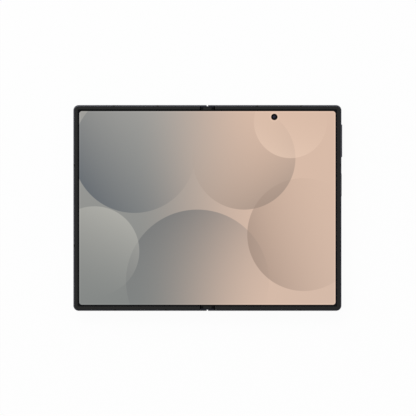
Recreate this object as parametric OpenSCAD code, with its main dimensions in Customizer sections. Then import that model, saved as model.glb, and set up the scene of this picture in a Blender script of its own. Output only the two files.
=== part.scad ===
// Book-style folding phone, opened flat with its inner screen facing up.
// +X points to the camera half's outer edge, +Y to the top edge, +Z out of the inner screen.
// The origin is under the hinge centre, level with the faces of the camera rings.

/* [Body] */
// Distance from the hinge centre to the outer edge of each half
half_reach = 80.7; // [76:0.1:90]
// Length of the body along the hinge
body_len = 123.9; // [122:0.1:136]
// Thickness of one half from its back face to the plane where the halves meet
half_t = 4.9; // [4.8:0.05:5.6]
// Rounding of the four outer corners, seen from the front
corner_r = 3.2; // [2.8:0.1:6]
// Rounding of the metal band's long edges
edge_r = 0.9; // [0.3:0.05:1.2]
// Wall of the metal band
band_t = 1.2; // [1.1:0.05:1.5]
// Metal left outside the glass and the soft frame
band_lip = 0.8; // [0.6:0.05:0.9]
// Gap that each half keeps from the plane where the screens meet
meet_gap = 0.05; // [0.04:0.01:0.1]

/* [Hinge] */
// Distance of each fold axis from the hinge centre
axis_x = 1.3; // [1.25:0.01:1.4]
// Outer radius of the spine about each fold axis
spine_r = 2.85; // [2.8:0.01:2.9]
// Wall of the spine
spine_wall = 0.35; // [0.3:0.01:0.4]
// Gap between the spine and the pocket in each half
pocket_gap = 0.15; // [0.1:0.01:0.2]
// Gap between the back lips of the two halves
lip_gap = 0.3; // [0.25:0.01:0.4]
// Gap between the two end walls, seen as a notch from the front
seam_gap = 0.9; // [0.7:0.05:1.0]
// Wall of the band where it passes the hinge
end_wall = 0.55; // [0.45:0.05:0.65]
// Gap between the ends of the spine and the end walls
end_gap = 0.1; // [0.08:0.01:0.2]
// Length of the cap at each end of the spine
cap_len = 2.8; // [2.2:0.1:2.9]
// Width of the raised bar on each cap
cap_bar_w = 5; // [4:0.1:6]
// Height of that bar above the rest of the cap
cap_step = 0.12; // [0.05:0.01:0.2]
// Distance between a cap and the hinge module next to it
module_gap = 1.6; // [0.6:0.1:7]
// Height of the shelf that carries the hinge brackets, above the back face
shelf_z = 1.4; // [1.3:0.05:1.5]
// Wall between the hinge and the inside of a half
shelf_wall = 0.8; // [0.6:0.1:1]
// Thickness of the brackets' feet
bracket_base_t = 0.4; // [0.35:0.01:0.5]
// Thickness of the wall that joins a bracket to its shoe
bracket_wall = 0.8; // [0.6:0.1:0.9]
// Thickness of the cheeks that guide an arm's pin
cheek_t = 0.8; // [0.6:0.1:0.9]
// Gap between an arm and each cheek
cheek_gap = 0.2; // [0.1:0.05:0.3]
// Distance from the body's middle to each flexible circuit
flex_y = 20; // [14:0.5:24]
// Width of the flexible circuits
flex_w = 9; // [6:0.5:11]
// Thickness of the flexible circuits
flex_t = 0.1; // [0.08:0.01:0.12]
// Gap round the flexible circuits
flex_gap = 0.3; // [0.2:0.05:0.35]

/* [Gears] */
// Tooth module of the synchronising gears
gear_m = 0.15; // [0.145:0.001:0.152]
// Teeth on each gear
gear_teeth = 11; // [11:2:11]
// Face width of the gears and of the arm's bar
gear_w = 2.0; // [1.6:0.1:2.2]
// Height of the arm gears' shafts above the back face
arm_shaft_z = 2.6; // [2.55:0.01:2.65]
// Height of the idler gears' shafts above the back face
idler_shaft_z = 2.15; // [2.12:0.01:2.18]
// Radius of the four shafts
shaft_r = 0.3; // [0.25:0.01:0.32]
// Running clearance of a gear on its shaft
shaft_play = 0.03; // [0.02:0.01:0.05]
// Distance from an arm gear's shaft to the pin in the arm's tip
arm_reach = 4.59; // [4.4:0.01:4.7]
// Radius of the pin in the arm's tip
arm_pin_r = 0.2; // [0.18:0.01:0.22]
// Thickness of the arm's bar
arm_bar_t = 0.48; // [0.4:0.01:0.5]
// Radius of the spring wire
spring_wire_r = 0.11; // [0.08:0.01:0.12]
// Turns in each spring
spring_turns = 6; // [4:1:8]
// Length of the springs as built in
spring_len = 3.4; // [2.8:0.1:4]
// Thickness of the plate that holds the springs and the shafts' inner ends
plate_t = 1.0; // [0.8:0.1:1.2]
// Thickness of the bridge that presses the cams together
bridge_t = 0.8; // [0.6:0.1:1]
// Length of the hub between an arm's gear and the bridge
hub_len = 1.3; // [1.1:0.1:1.6]
// Metal left between the grooves of a hinge block
rib_t = 0.8; // [0.7:0.1:1]
// Width of the arc shoes on which the halves turn
shoe_w = 2.8; // [2.2:0.1:3.2]
// Inner radius of the arc shoes
shoe_in = 1.55; // [1.5:0.01:1.65]
// Gap on each side of a shoe in its groove
shoe_gap = 0.1; // [0.05:0.01:0.15]

/* [Screen] */
// Distance from the body's ends to the ends of the folding strip
strip_border = 3.55; // [3.2:0.05:4]
// Thickness of the inner screen
screen_t = 0.6; // [0.5:0.05:0.65]
// Height of the soft frame above the screen
bezel_t = 0.25; // [0.2:0.05:0.3]
// Rounding of the soft frame's edges
bezel_e = 0.1; // [0.05:0.01:0.15]
// Width of the soft frame
bezel_w = 1.8; // [1.6:0.05:2.1]
// Thickness of the metal sheet under the screen
sheet_t = 0.15; // [0.1:0.01:0.2]
// Distance from the hinge centre to the rigid part of the screen
fold_x = 8.0; // [8:0.1:9]
// Distance from the hinge centre to the inner edge of a wing plate
wing_x = 3.2; // [3.1:0.1:3.6]
// Radius of the wing plates' pins
wing_pin_r = 0.2; // [0.18:0.01:0.24]
// Clearance of the wing plates' pins in their lugs
wing_gap = 0.03; // [0.02:0.01:0.05]
// Width of the tabs that carry the pins
wing_tab_w = 1.5; // [1.2:0.1:2]
// Thickness of the lugs on each side of a tab
lug_t = 1.0; // [0.8:0.1:1.4]
// Gap between a tab and its lugs
lug_gap = 0.2; // [0.1:0.05:0.3]
// Radius of the hole for the inner camera
punch_r = 1.97; // [1.6:0.01:2.2]
// Distance from the outer edge to the inner camera
punch_side = 40.4; // [37:0.1:45]
// Distance from the body's top end to the inner camera
punch_top = 7.15; // [6.8:0.05:7.9]
// Width of the inner camera's body
inner_cam_w = 5.6; // [5:0.1:6]

/* [Backs] */
// Thickness of the back glass and of the cover glass
glass_t = 0.6; // [0.5:0.05:0.7]
// Distance from the hinge centre to the glass on each back
glass_x = 5.6; // [5.4:0.1:7]
// Thickness of the cover display
cover_t = 0.5; // [0.4:0.05:0.6]
// Height of the camera island above the back glass
island_t = 1.5; // [1.2:0.1:1.8]
// Width of the camera island
island_w = 24; // [22:0.5:26]
// Length of the camera island
island_l = 44; // [42:0.5:48]
// Rounding of the island's corners
island_r = 6; // [4:0.5:8]
// Rounding of the island's upper edge
island_e = 0.7; // [0.4:0.05:0.9]
// Distance from the island to the phone's outer edge and to its top edge
island_margin = 4.6; // [4:0.1:6]
// Height of the camera rings above the island
ring_t = 1.3; // [0.8:0.1:1.5]
// Outer radius of the camera rings
ring_r = 6.1; // [5.6:0.1:6.4]
// Wall of the camera rings
ring_wall = 0.8; // [0.6:0.1:1.0]
// Rounding of the rings' upper edge
ring_e = 0.35; // [0.2:0.05:0.4]
// Width of the ledge under the lens glasses
lens_seat = 0.9; // [0.6:0.1:1.1]
// Depth of the lens glasses below the rings' faces
lens_inset = 0.2; // [0.1:0.05:0.3]
// Distance between neighbouring camera rings
ring_pitch = 13.6; // [13.2:0.1:14]
// Distance from the island's middle to the row of rings
ring_shift = 3; // [2.5:0.1:3.5]
// Width of each camera's body behind the island
camera_w = 11.2; // [10:0.1:12]
// Radius of the cameras' barrels
barrel_r = 3.9; // [3:0.1:4.2]
// Distance from the island's middle to the flash
flash_shift = 7.4; // [7:0.1:8]
// Radius of the flash
flash_r = 2.2; // [1.6:0.1:2.3]
// Distance from the hinge centre to the cover camera
cover_cam_x = 43; // [38:0.5:46]
// Distance from the body's top end to the cover camera
cover_cam_top = 8.75; // [8.4:0.05:10]
// Radius of the cover camera
cover_cam_r = 2.4; // [1.8:0.1:2.6]
// Length of the earpiece slot
ear_w = 11; // [8:0.5:13]
// Width of the earpiece slot
ear_slot_h = 0.7; // [0.5:0.1:0.9]
// Depth of the earpiece
ear_depth = 4.2; // [3.6:0.1:4.4]
// Width of the earpiece beyond its slot on each side
ear_side = 2; // [1.5:0.1:3]
// Depth of the earpiece's chamber
ear_chamber = 1.6; // [1.2:0.1:2]
// Height of the earpiece slot above the back face
ear_z = 1.9; // [1.7:0.05:2.1]

/* [Keys] */
// Length of the volume key
volume_len = 19.6; // [16:0.1:22]
// Distance from the body's top end to the volume key's middle
volume_top = 21.5; // [20:0.05:23]
// Height of the volume key above the band
volume_rise = 0.48; // [0.3:0.01:0.6]
// Length of the power key
power_len = 13.8; // [12:0.1:16]
// Distance from the body's top end to the power key's middle
power_top = 48.08; // [46:0.01:50]
// Height of the power key above the band
power_rise = 0.16; // [0.1:0.01:0.3]
// Width of both keys across the band
key_w = 1.7; // [1.4:0.1:1.8]
// Height of the keys' middle above the back face
key_z = 2.3; // [2.2:0.05:2.4]
// Gap round a key in its slot
key_gap = 0.1; // [0.08:0.01:0.15]
// Rounding of the keys' edges
key_e = 0.12; // [0.05:0.01:0.15]
// Thickness of the flange behind each key
flange_t = 0.7; // [0.5:0.05:0.8]
// Length of a key's flange beyond the key, both ends together
flange_l = 1.2; // [0.8:0.1:1.6]
// Width of a key's flange beyond the key, both sides together
flange_w = 0.5; // [0.4:0.05:0.6]
// Distance between the band and the circuit that carries the keys' switches
switch_gap = 2.1; // [2:0.1:2.4]
// Height of the switches' domes
dome_h = 0.7; // [0.5:0.05:0.8]
// Radius of the plungers that press the domes
plunger_r = 0.6; // [0.4:0.05:0.7]
// Travel of the volume key
volume_travel = 0.25; // [0.15:0.01:0.3]
// Travel of the power key
power_travel = 0.15; // [0.1:0.01:0.15]

/* [Sockets] */
// Distance from the hinge centre to the charging socket
usb_x = 40.3; // [38:0.1:44]
// Height of the charging socket's middle above the back face
usb_z = 2.25; // [2.2:0.01:2.3]
// Width of the socket's mouth
usb_w = 8.34; // [8.34:0.01:8.34]
// Height of the socket's mouth
usb_h = 2.56; // [2.56:0.01:2.56]
// Wall of the socket's shell
usb_wall = 0.3; // [0.25:0.01:0.3]
// Depth of the socket
usb_depth = 7.3; // [6.5:0.1:8]
// Distance by which the socket's shell stands back from the body's end
usb_inset = 0.35; // [0.2:0.05:0.5]
// Thickness of the socket's back wall
usb_back = 1.15; // [0.8:0.05:1.5]
// Width of the socket's tongue
tongue_w = 6.7; // [6.7:0.01:6.7]
// Thickness of the socket's tongue
tongue_t = 0.7; // [0.7:0.01:0.7]
// Distance from the body's end to the tongue's tip
tongue_inset = 1.2; // [0.9:0.1:1.6]
// Distance from the hinge centre to the card tray
tray_x = 41; // [34:0.5:46]
// Width of the card tray
tray_w = 11; // [10.5:0.1:12]
// Length of the card tray behind its cover
tray_len = 18; // [16:0.5:20]
// Thickness of the card tray
tray_t = 0.9; // [0.8:0.05:1.0]
// Gap round the card tray
tray_gap = 0.12; // [0.1:0.01:0.15]
// Height of the card tray's middle above the back face
tray_z = 2.3; // [2.25:0.05:2.4]
// Width of the tray's cover beyond the tray on each side
tray_rim = 0.7; // [0.5:0.1:0.9]
// Height of the tray's cover
tray_cover_h = 1.7; // [1.5:0.1:1.8]
// Width of the tray's rim on each side of the card
tray_side = 1; // [0.8:0.1:1.2]
// Width of the tray's web between its cover and the card
tray_web = 2.2; // [1.5:0.1:3]
// Width of the tray's rim behind the card
tray_back = 3.3; // [2:0.1:4]
// Thickness of the tray's floor
tray_floor = 0.2; // [0.15:0.01:0.3]
// Wall of the cage round the tray
cage_wall = 0.9; // [0.5:0.1:1]
// Thickness of the cage's floor
cage_floor = 0.5; // [0.3:0.05:0.6]
// Radius of the hole for the tray's pin
pin_hole_r = 0.45; // [0.35:0.01:0.5]
// Radius of the loudspeaker's holes
speaker_hole_r = 0.55; // [0.4:0.01:0.65]
// Number of the loudspeaker's holes
speaker_hole_count = 6; // [4:1:7]
// Distance between neighbouring loudspeaker holes
speaker_pitch = 2.2; // [1.9:0.1:2.4]
// Distance between the charging socket's middle and the lower microphone hole
mic_shift = 11; // [9:0.1:13]
// Distance from the hinge centre to the upper microphone hole
top_mic_x = 47; // [34:0.5:50]
// Radius of the microphone holes
mic_r = 0.4; // [0.25:0.01:0.45]

/* [Inside] */
// Thickness of the middle plate of each half
mid_t = 0.4; // [0.3:0.05:0.5]
// Gap kept round the loose inner parts
inner_gap = 0.3; // [0.2:0.05:0.4]
// Distance between a battery and the hinge's shelf
battery_hinge_gap = 2.5; // [2.2:0.1:4]
// Distance between a battery and the band along the outer edge
battery_side_gap = 5.5; // [5:0.1:7]
// Distance from the body's bottom end to the left battery
left_bay_len = 29.95; // [27:0.05:33]
// Distance from the body's bottom end to the right battery
right_bay_len = 22.95; // [20:0.05:26]
// Distance between the cameras and the wall of the battery's bay
battery_gap = 0.25; // [0.15:0.05:2]
// Distance between a battery and the circuit board above it
board_spacing = 3; // [1.5:0.1:4]
// Distance between the left circuit board and the top edge's band
left_board_top = 5; // [4.5:0.1:7]
// Distance between the main board and the top edge's band
main_board_top = 1; // [0.5:0.1:3]
// Distance between the main board and the hinge's shelf
main_board_side = 2; // [1:0.1:4]
// Length of the left circuit board along the hinge
left_board_len = 30.75; // [26:0.05:34]
// Distance between the main board and the cameras
camera_gap = 5.5; // [2:0.1:8]
// Thickness of the circuit boards
board_t = 0.6; // [0.5:0.05:0.7]
// Width of the connectors on the boards
connector_w = 5; // [3:0.5:7]
// Height of the connectors
connector_h = 0.6; // [0.4:0.05:0.8]
// Length of the thin lip on each battery
battery_lip = 3; // [2:0.5:4]
// Thickness of the walls at the ends of the battery bays
bay_wall = 0.6; // [0.5:0.05:0.8]
// Turns of the charging coil
coil_turns = 8; // [5:1:10]
// Gap between the boards and the middle plates
board_gap = 0.3; // [0.25:0.01:0.4]
// Distance from a board's edges to its screws
screw_inset = 3; // [2.5:0.1:3.5]
// Height of the shield cans
can_h = 1.1; // [0.9:0.05:1.2]
// Wall of the shield cans
can_wall = 0.3; // [0.2:0.05:0.4]
// Width of the charging socket's board
usb_board_w = 24; // [18:0.5:28]
// Width of the loudspeaker
speaker_w = 17; // [15:0.5:18]
// Distance between the loudspeaker and the magnets beside it
speaker_side = 1.4; // [1.2:0.1:1.8]
// Distance between the battery and the parts below it
bottom_spacing = 1.5; // [1:0.1:2]
// Width of the vibration motor
motor_w = 10; // [8:0.5:12]
// Length of the vibration motor
motor_len = 14; // [12:0.5:16]
// Rounding of the vibration motor's corners
motor_r = 1.5; // [1:0.1:2]
// Outer radius of the charging coil
coil_r = 22; // [18:0.5:24]
// Inner radius of the charging coil
coil_bore_r = 10; // [8:0.5:12]
// Width of the magnets
magnet_w = 3.1; // [2.5:0.1:3.5]
// Length of the magnets
magnet_len = 13; // [10:0.5:16]
// Thickness of the magnets
magnet_t = 1.8; // [1.4:0.1:2]
// Distance from the body's bottom end to the lower magnets
magnet_low = 11.95; // [10:0.05:14]
// Distance from the body's bottom end to the upper magnets
magnet_high = 42.95; // [40:0.05:45]

/* [Screws] */
// Radius of the screws
screw_r = 0.38; // [0.3:0.01:0.39]
// Radius of the holes for them
screw_hole_r = 0.4; // [0.4:0.01:0.5]
// Radius of the screws' heads
screw_head_r = 0.75; // [0.6:0.05:0.8]
// Height of the screws' heads
screw_head_t = 0.3; // [0.2:0.05:0.35]
// Radius of the bosses that carry the boards
boss_r = 1.2; // [1:0.05:1.4]

/* [Band breaks] */
// Width of the plastic breaks in the band
break_w = 1.3; // [1:0.1:1.6]
// Distance from the hinge centre to the inner breaks in the top edge
top_break_in = 29.95; // [28:0.05:32]
// Distance from the outer edge to the outer breaks in the top edge
top_break_out = 24.4; // [22:0.05:26]
// Distance from the hinge centre to the inner breaks in the bottom edge
bottom_break_in = 25; // [23:0.05:27]
// Distance from the outer edge to the outer breaks in the bottom edge
bottom_break_out = 25.1; // [24.6:0.05:27]
// Distance from the body's top end to the upper breaks in the outer edges
side_break_high = 36.3; // [35:0.05:38]
// Distance from the body's bottom end to the lower breaks in the outer edges
side_break_low = 39.2; // [37:0.05:41]

/* [Hidden] */
$fn = 48;

// Colours as the photograph shows them, dark inner parts as such phones have them
graphite = [0.25, 0.25, 0.27];
soft_black = [0.13, 0.13, 0.13];
glass_black = [0.06, 0.06, 0.07];
screen_tan = [0.72, 0.65, 0.58];
steel = [0.62, 0.63, 0.65];
board_green = [0.08, 0.22, 0.16];
copper = [0.72, 0.43, 0.26];
foil_grey = [0.35, 0.36, 0.38];

// Layers of a half, counted up from its back face
axis_z = half_t - axis_x;
bezel_top = half_t - meet_gap;
screen_top = bezel_top - bezel_t;
screen_z = screen_top - screen_t;
sheet_z = screen_z - sheet_t;
mid_z = sheet_z - mid_t;
band_h = screen_top + 0.1;
lift = island_t + ring_t;
half_len = body_len / 2;
eps = 0.01;

// Hinge pocket and spine
pocket_r = spine_r + pocket_gap;
trough_r = spine_r - spine_wall;
spine_z = axis_z - spine_r;
trough_z = spine_z + spine_wall;
pocket_half = half_len - end_wall;
spine_half = pocket_half - end_gap;
bezel_x = axis_x + spine_r + 0.35;
mechanism_top = axis_z - 0.4;
shelf_x = fold_x + 0.4;
nose_r = axis_x - meet_gap;
flex_z = axis_z - 1;

// Hinge module, measured outward from its inner end
bridge_v = plate_t + spring_len;
hub_v = bridge_v + bridge_t + 0.1;
gear_v = hub_v + hub_len;
wall_v = gear_v + gear_w + 0.1;
right_shoe_v = wall_v + 2 * rib_t - 0.1;
left_shoe_v = right_shoe_v + shoe_w + rib_t;
module_len = left_shoe_v + shoe_w + rib_t;
module_start = spine_half - cap_len - module_gap - module_len;
shoe_out = trough_r - 0.1;
strip_low = axis_z - 1.13;
strip_high = axis_z - 0.7;
arm_low = arm_shaft_z - 0.08;
arm_pin_z = arm_shaft_z + 0.1;
bracket_x = bezel_x - 0.1;

// Gear train
pitch_r = gear_m * gear_teeth / 2;
idler_x = pitch_r;
arm_shaft_x = idler_x + sqrt(pow(2 * pitch_r, 2) - pow(arm_shaft_z - idler_shaft_z, 2));
tip_r = pitch_r + 0.85 * gear_m;
root_r = pitch_r - 1.2 * gear_m;
arm_pin_x = arm_shaft_x + arm_reach;
spring_r = shaft_r + 0.24;
spring_sides = 5;
spring_steps = 9;

// Phases that keep the four gears in mesh: the idlers' teeth point away from the camera half
mesh_dir = atan2(arm_shaft_z - idler_shaft_z, arm_shaft_x - idler_x);
tooth_step = 360 / gear_teeth;
idler_lead = 180 - (gear_teeth - 1) / 2 * tooth_step - mesh_dir;
right_arm_phase = mesh_dir + 180 - idler_lead + tooth_step / 2;
left_arm_phase = -mesh_dir + idler_lead;
pressure_angle = 20;
tooth_play = 1.4;
arm_teeth_half = 3;

// Wing plates
wing_pivot_x = fold_x - 0.1;
wing_pivot_z = axis_z - 0.35;
lug_x = wing_pivot_x - 0.5;
cheek_top = axis_z - 0.5;
cheek_end = fold_x - 0.5;
wing_half = spine_half - cap_len - 0.5;
wing_stations = [2.5 - module_start, 0, module_start - 2.5];

// Spaces inside a half
cavity_x = shelf_x + shelf_wall;
inner_reach = half_reach - band_t;
inner_half = half_len - band_t;

// Breaks, openings and keys, measured from the hinge centre and the body's middle
top_breaks = [top_break_in, half_reach - top_break_out];
bottom_breaks = [bottom_break_in, half_reach - bottom_break_out];
side_breaks = [half_len - side_break_high, side_break_low - half_len];
punch_x = half_reach - punch_side;
punch_y = half_len - punch_top;
cover_cam_y = half_len - cover_cam_top;
volume_y = half_len - volume_top;
power_y = half_len - power_top;
switch_x = inner_reach - switch_gap;
switch_top = switch_x + dome_h;
key_back = inner_reach - 0.05;

// Camera island
island_x = half_reach - island_margin - island_w / 2;
island_y = half_len - island_margin - island_l / 2;
ring_x = island_x - ring_shift;
ring_ys = [island_y - ring_pitch, island_y, island_y + ring_pitch];
flash_x = island_x + flash_shift;

// Batteries, boards, loudspeaker and screws
battery_x0 = cavity_x + battery_hinge_gap;
battery_x1 = inner_reach - battery_side_gap;
left_battery_y0 = left_bay_len - half_len;
left_board_y1 = inner_half - left_board_top;
left_board_y0 = left_board_y1 - left_board_len;
left_battery_y1 = left_board_y0 - board_spacing;
right_battery_y0 = right_bay_len - half_len;
right_battery_y1 = ring_ys[0] - camera_w / 2 - battery_gap - bay_wall - inner_gap;
main_board_x0 = cavity_x + main_board_side;
main_board_x1 = ring_x - camera_w / 2 - camera_gap;
main_board_y0 = right_battery_y1 + board_spacing;
main_board_y1 = inner_half - main_board_top;
board_low = mid_z - board_gap - board_t;
coil_pitch = (coil_r - coil_bore_r) / coil_turns;
usb_floor = usb_depth + usb_inset - usb_back - half_len;
speaker_x1 = inner_reach - magnet_w - speaker_side;
speaker_x = speaker_x1 - speaker_w / 2;
speaker_holes = [for (i = [0:speaker_hole_count - 1])
  speaker_x + (i - (speaker_hole_count - 1) / 2) * speaker_pitch];
glass_seat = glass_t + 0.2;
// Shield cans: places and sizes as shares of the board's width and length
can_shares = [[0.17, 0.14, 0.39, 0.36], [0.63, 0.14, 0.31, 0.38], [0.15, 0.57, 0.44, 0.34]];
bracket_top = shelf_z + bracket_base_t;
bracket_screw_x = (bracket_x + fold_x) / 2;
bracket_screw_vs = [plate_t + 0.8, bridge_v - 0.2, right_shoe_v + shoe_w / 2, left_shoe_v + shoe_w / 2];
bracket_screws = [for (v = bracket_screw_vs) [bracket_screw_x, v]];
left_board_screws = board_corners(battery_x0, battery_x1, left_board_y0, left_board_y1);
right_board_screws = board_corners(main_board_x0, main_board_x1, main_board_y0, main_board_y1);
function board_corners(x0, x1, y0, y1) =
  [for (x = [x0 + screw_inset, x1 - screw_inset], y = [y0 + screw_inset, y1 - screw_inset]) [x, y]];

/* Helpers: a profile drawn in X and Z, pushed along Y, and the like */
module along_y(y0, y1) {
  translate([0, y1, 0]) rotate([90, 0, 0]) linear_extrude(height = y1 - y0) children();
}

module along_x(x0, x1) {
  translate([x0, 0, 0]) rotate([90, 0, 90]) linear_extrude(height = x1 - x0) children();
}

module along_z(z0, z1) {
  translate([0, 0, z0]) linear_extrude(height = z1 - z0) children();
}

module block(x0, x1, y0, y1, z0, z1) {
  translate([x0, y0, z0]) cube([x1 - x0, y1 - y0, z1 - z0]);
}

module raised() {
  translate([0, 0, lift]) children();
}

module left_side() {
  raised() mirror([1, 0, 0]) children();
}

module both_ends() {
  children();
  mirror([0, 1, 0]) children();
}

// Rounded rectangle with true arcs, centred
module rounded(w, l, r) {
  square([w - 2 * r, l], center = true);
  square([w, l - 2 * r], center = true);
  for (x = [-1, 1], y = [-1, 1])
    translate([x * (w / 2 - r), y * (l / 2 - r)]) circle(r);
}

// Slot with round ends, centred, with its length along the first axis
module stadium(l, w) {
  square([l - w, w], center = true);
  for (s = [-1, 1]) translate([s * (l - w) / 2, 0]) circle(w / 2);
}

// Plan of a half from x0 outward, drawn in by inset from the body's outline
module half_plan(x0, inset) {
  r = max(corner_r - inset, 0.3);
  far = half_reach - inset;
  side = half_len - inset;
  translate([x0, -side]) square([far - r - x0, 2 * side]);
  translate([x0, r - side]) square([far - x0, 2 * (side - r)]);
  for (s = [-1, 1]) translate([far - r, s * (side - r)]) circle(r);
}

// Section of the metal band: its outer face is at zero, its inner face below zero
module band_section() {
  difference() {
    translate([-band_t, 0]) square([band_t, band_h]);
    difference() {
      translate([-edge_r, -eps]) square([edge_r + eps, edge_r + eps]);
      translate([-edge_r, edge_r]) circle(edge_r);
    }
    difference() {
      translate([-edge_r, band_h - edge_r]) square([edge_r + eps, edge_r + eps]);
      translate([-edge_r, band_h - edge_r]) circle(edge_r);
    }
  }
}

// The band of one half, from the seam round three sides
module band() {
  both_ends() {
    along_x(seam_gap / 2, half_reach - corner_r) translate([half_len, 0]) band_section();
    translate([half_reach - corner_r, half_len - corner_r, 0])
      rotate_extrude(angle = 90) translate([corner_r, 0]) band_section();
  }
  along_y(corner_r - half_len, half_len - corner_r) translate([half_reach, 0]) band_section();
}

// Boxes that cut the plastic breaks out of the band
module break_boxes() {
  for (x = top_breaks)
    block(x - break_w / 2, x + break_w / 2, inner_half, half_len + 1, -1, half_t + 1);
  for (x = bottom_breaks)
    block(x - break_w / 2, x + break_w / 2, -half_len - 1, -inner_half, -1, half_t + 1);
  for (y = side_breaks)
    block(inner_reach, half_reach + 1, y - break_w / 2, y + break_w / 2, -1, half_t + 1);
}

// Rebates for the glass on the back and for the screen and its soft frame
module rebates() {
  along_z(-1, glass_t) half_plan(glass_x, band_lip);
  along_z(screen_z, half_t + 1) half_plan(bezel_x, band_lip);
}

// Space swept by the spine, with room for its caps above the axis
module hinge_pocket() {
  along_y(-pocket_half, pocket_half) {
    translate([axis_x, axis_z]) circle(pocket_r);
    translate([-1, axis_z - pocket_r]) square([axis_x + 1, pocket_r + 2]);
    translate([-1, axis_z]) square([bezel_x + 1, 2]);
  }
}

// Rounded nose of the end walls, which lets one half turn past the other
module seam_noses() {
  along_y(-half_len - 1, half_len + 1) difference() {
    translate([-1, axis_z]) square([axis_x + 1, 2]);
    translate([axis_x, axis_z]) circle(nose_r);
  }
}

// One of the lugs that carry a wing plate's pins
module wing_lugs() {
  for (y = wing_stations, s = [-1, 1])
    difference() {
      translate([0, y + s * (wing_tab_w / 2 + lug_gap + lug_t / 2), 0])
        block(lug_x, shelf_x + eps, -lug_t / 2, lug_t / 2, shelf_z - eps, axis_z + 0.05);
      translate([wing_pivot_x, y - 3, wing_pivot_z])
        rotate([-90, 0, 0]) cylinder(r = wing_pin_r + wing_gap, h = 6);
    }
}

// Plate, band, back lip and shelf of one half, before its own openings
module half_frame() {
  difference() {
    union() {
      difference() {
        band();
        break_boxes();
      }
      difference() {
        along_z(mid_z, sheet_z) half_plan(shelf_x, band_t - eps);
        break_boxes();
      }
      block(lip_gap / 2, shelf_x, -pocket_half - eps, pocket_half + eps, 0, shelf_z);
      block(seam_gap / 2, cavity_x, pocket_half, inner_half + band_t / 2, 0, axis_z);
      block(seam_gap / 2, cavity_x, -inner_half - band_t / 2, -pocket_half, 0, axis_z);
      block(shelf_x, cavity_x, -pocket_half, pocket_half, 0, sheet_z);
      wing_lugs();
    }
    hinge_pocket();
    seam_noses();
    rebates();
    block(-1, seam_gap / 2, pocket_half, half_len + 1, -1, half_t);
    block(-1, seam_gap / 2, -half_len - 1, -pocket_half, -1, half_t);
  }
}

module half_breaks() {
  difference() {
    intersection() {
      band();
      break_boxes();
    }
    rebates();
  }
}

/* Openings and fixings shared by a frame and the pieces that fill them */
module screw_holes(points) {
  for (p = points)
    translate([p[0], p[1], board_low - 1])
      cylinder(r = screw_hole_r, h = sheet_z - board_low + 0.9);
  both_ends() for (p = bracket_screws)
    translate([p[0], module_start + p[1], glass_seat])
      cylinder(r = screw_hole_r, h = shelf_z);
}

// Walls milled at the ends of a battery's bay
module bay_walls(y0, y1, low) {
  for (y = [y0 - inner_gap - bay_wall, y1 + inner_gap])
    block(battery_x0, battery_x1, y, y + bay_wall, low, mid_z + eps);
}

module bosses(points) {
  for (p = points)
    translate([p[0], p[1], mid_z - board_gap])
      cylinder(r = boss_r, h = board_gap + eps);
}

module screws(points) {
  for (p = points) {
    translate([p[0], p[1], board_low - screw_head_t]) cylinder(r = screw_head_r, h = screw_head_t);
    translate([p[0], p[1], board_low - eps]) cylinder(r = screw_r, h = board_t + board_gap + 0.3);
  }
  both_ends() for (p = bracket_screws) {
    translate([p[0], module_start + p[1], bracket_top])
      cylinder(r = screw_head_r, h = screw_head_t);
    translate([p[0], module_start + p[1], glass_seat + 0.05])
      cylinder(r = screw_r, h = bracket_top - glass_seat);
  }
}

// Connectors in a row along a board's lower edge, on its back
module connectors(x0, x1, y0) {
  for (k = [1, 2, 3])
    translate([x0 + k * (x1 - x0) / 4 - connector_w / 2, y0 + 1, board_low - connector_h])
      cube([connector_w, 1.8, connector_h + eps]);
}

module board_window(x, y, w) {
  translate([x, y, board_low]) cube([w, w, 4], center = true);
}

module board_holes(points) {
  for (p = points)
    translate([p[0], p[1], board_low - 1]) cylinder(r = screw_hole_r, h = board_t + 2);
}

// Way through the shelf's wall for the flexes
module flex_ways() {
  for (s = [-1, 1])
    block(shelf_x - 1, cavity_x + 1, s * flex_y - flex_w / 2 - flex_gap,
      s * flex_y + flex_w / 2 + flex_gap, flex_z - flex_gap, flex_z + flex_gap);
}

module key_slot(len, y) {
  along_x(inner_reach - 1, half_reach + 1) translate([y, key_z])
    stadium(len + 2 * key_gap, key_w + 2 * key_gap);
}

module mic_hole(x, s) {
  translate([x, s * (half_len + 1), key_z]) rotate([90 * s, 0, 0]) cylinder(r = mic_r, h = band_t + 2);
}

/* Left half: the half behind the cover glass */
module left_frame() {
  color(graphite) left_side() difference() {
    union() {
      half_frame();
      bosses(left_board_screws);
      bay_walls(left_battery_y0, left_battery_y1, glass_t + cover_t + inner_gap);
    }
    screw_holes(left_board_screws);
    flex_ways();
    translate([0, -half_len - 1, 0]) along_y(0, band_t + 1.5)
      translate([tray_x, tray_z]) tray_cover(tray_gap);
    along_y(inner_half - 1, half_len + 1) translate([cover_cam_x, ear_z]) stadium(ear_w, ear_slot_h);
  }
}

module left_antenna_breaks() {
  color(foil_grey) left_side() half_breaks();
}

// Section of the soft frame, with both upper edges rounded; its outer face is at zero
module bezel_section() {
  translate([-bezel_w, 0]) square([bezel_w, bezel_t - bezel_e]);
  translate([bezel_e - bezel_w, 0]) square([bezel_w - 2 * bezel_e, bezel_t]);
  for (x = [bezel_e - bezel_w, -bezel_e]) translate([x, bezel_t - bezel_e]) circle(bezel_e);
}

module bezel_ring() {
  reach = half_reach - band_lip;
  side = half_len - band_lip;
  turn = corner_r - band_lip;
  translate([0, 0, screen_top]) {
    both_ends() {
      along_x(bezel_x, reach - turn) translate([side, 0]) bezel_section();
      translate([reach - turn, side - turn, 0]) rotate_extrude(angle = 90)
        intersection() {
          translate([turn, 0]) bezel_section();
          square([turn, bezel_t]);
        }
    }
    along_y(turn - side, side - turn) translate([reach, 0]) bezel_section();
  }
}

module left_bezel() {
  color(soft_black) left_side() bezel_ring();
}

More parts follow.
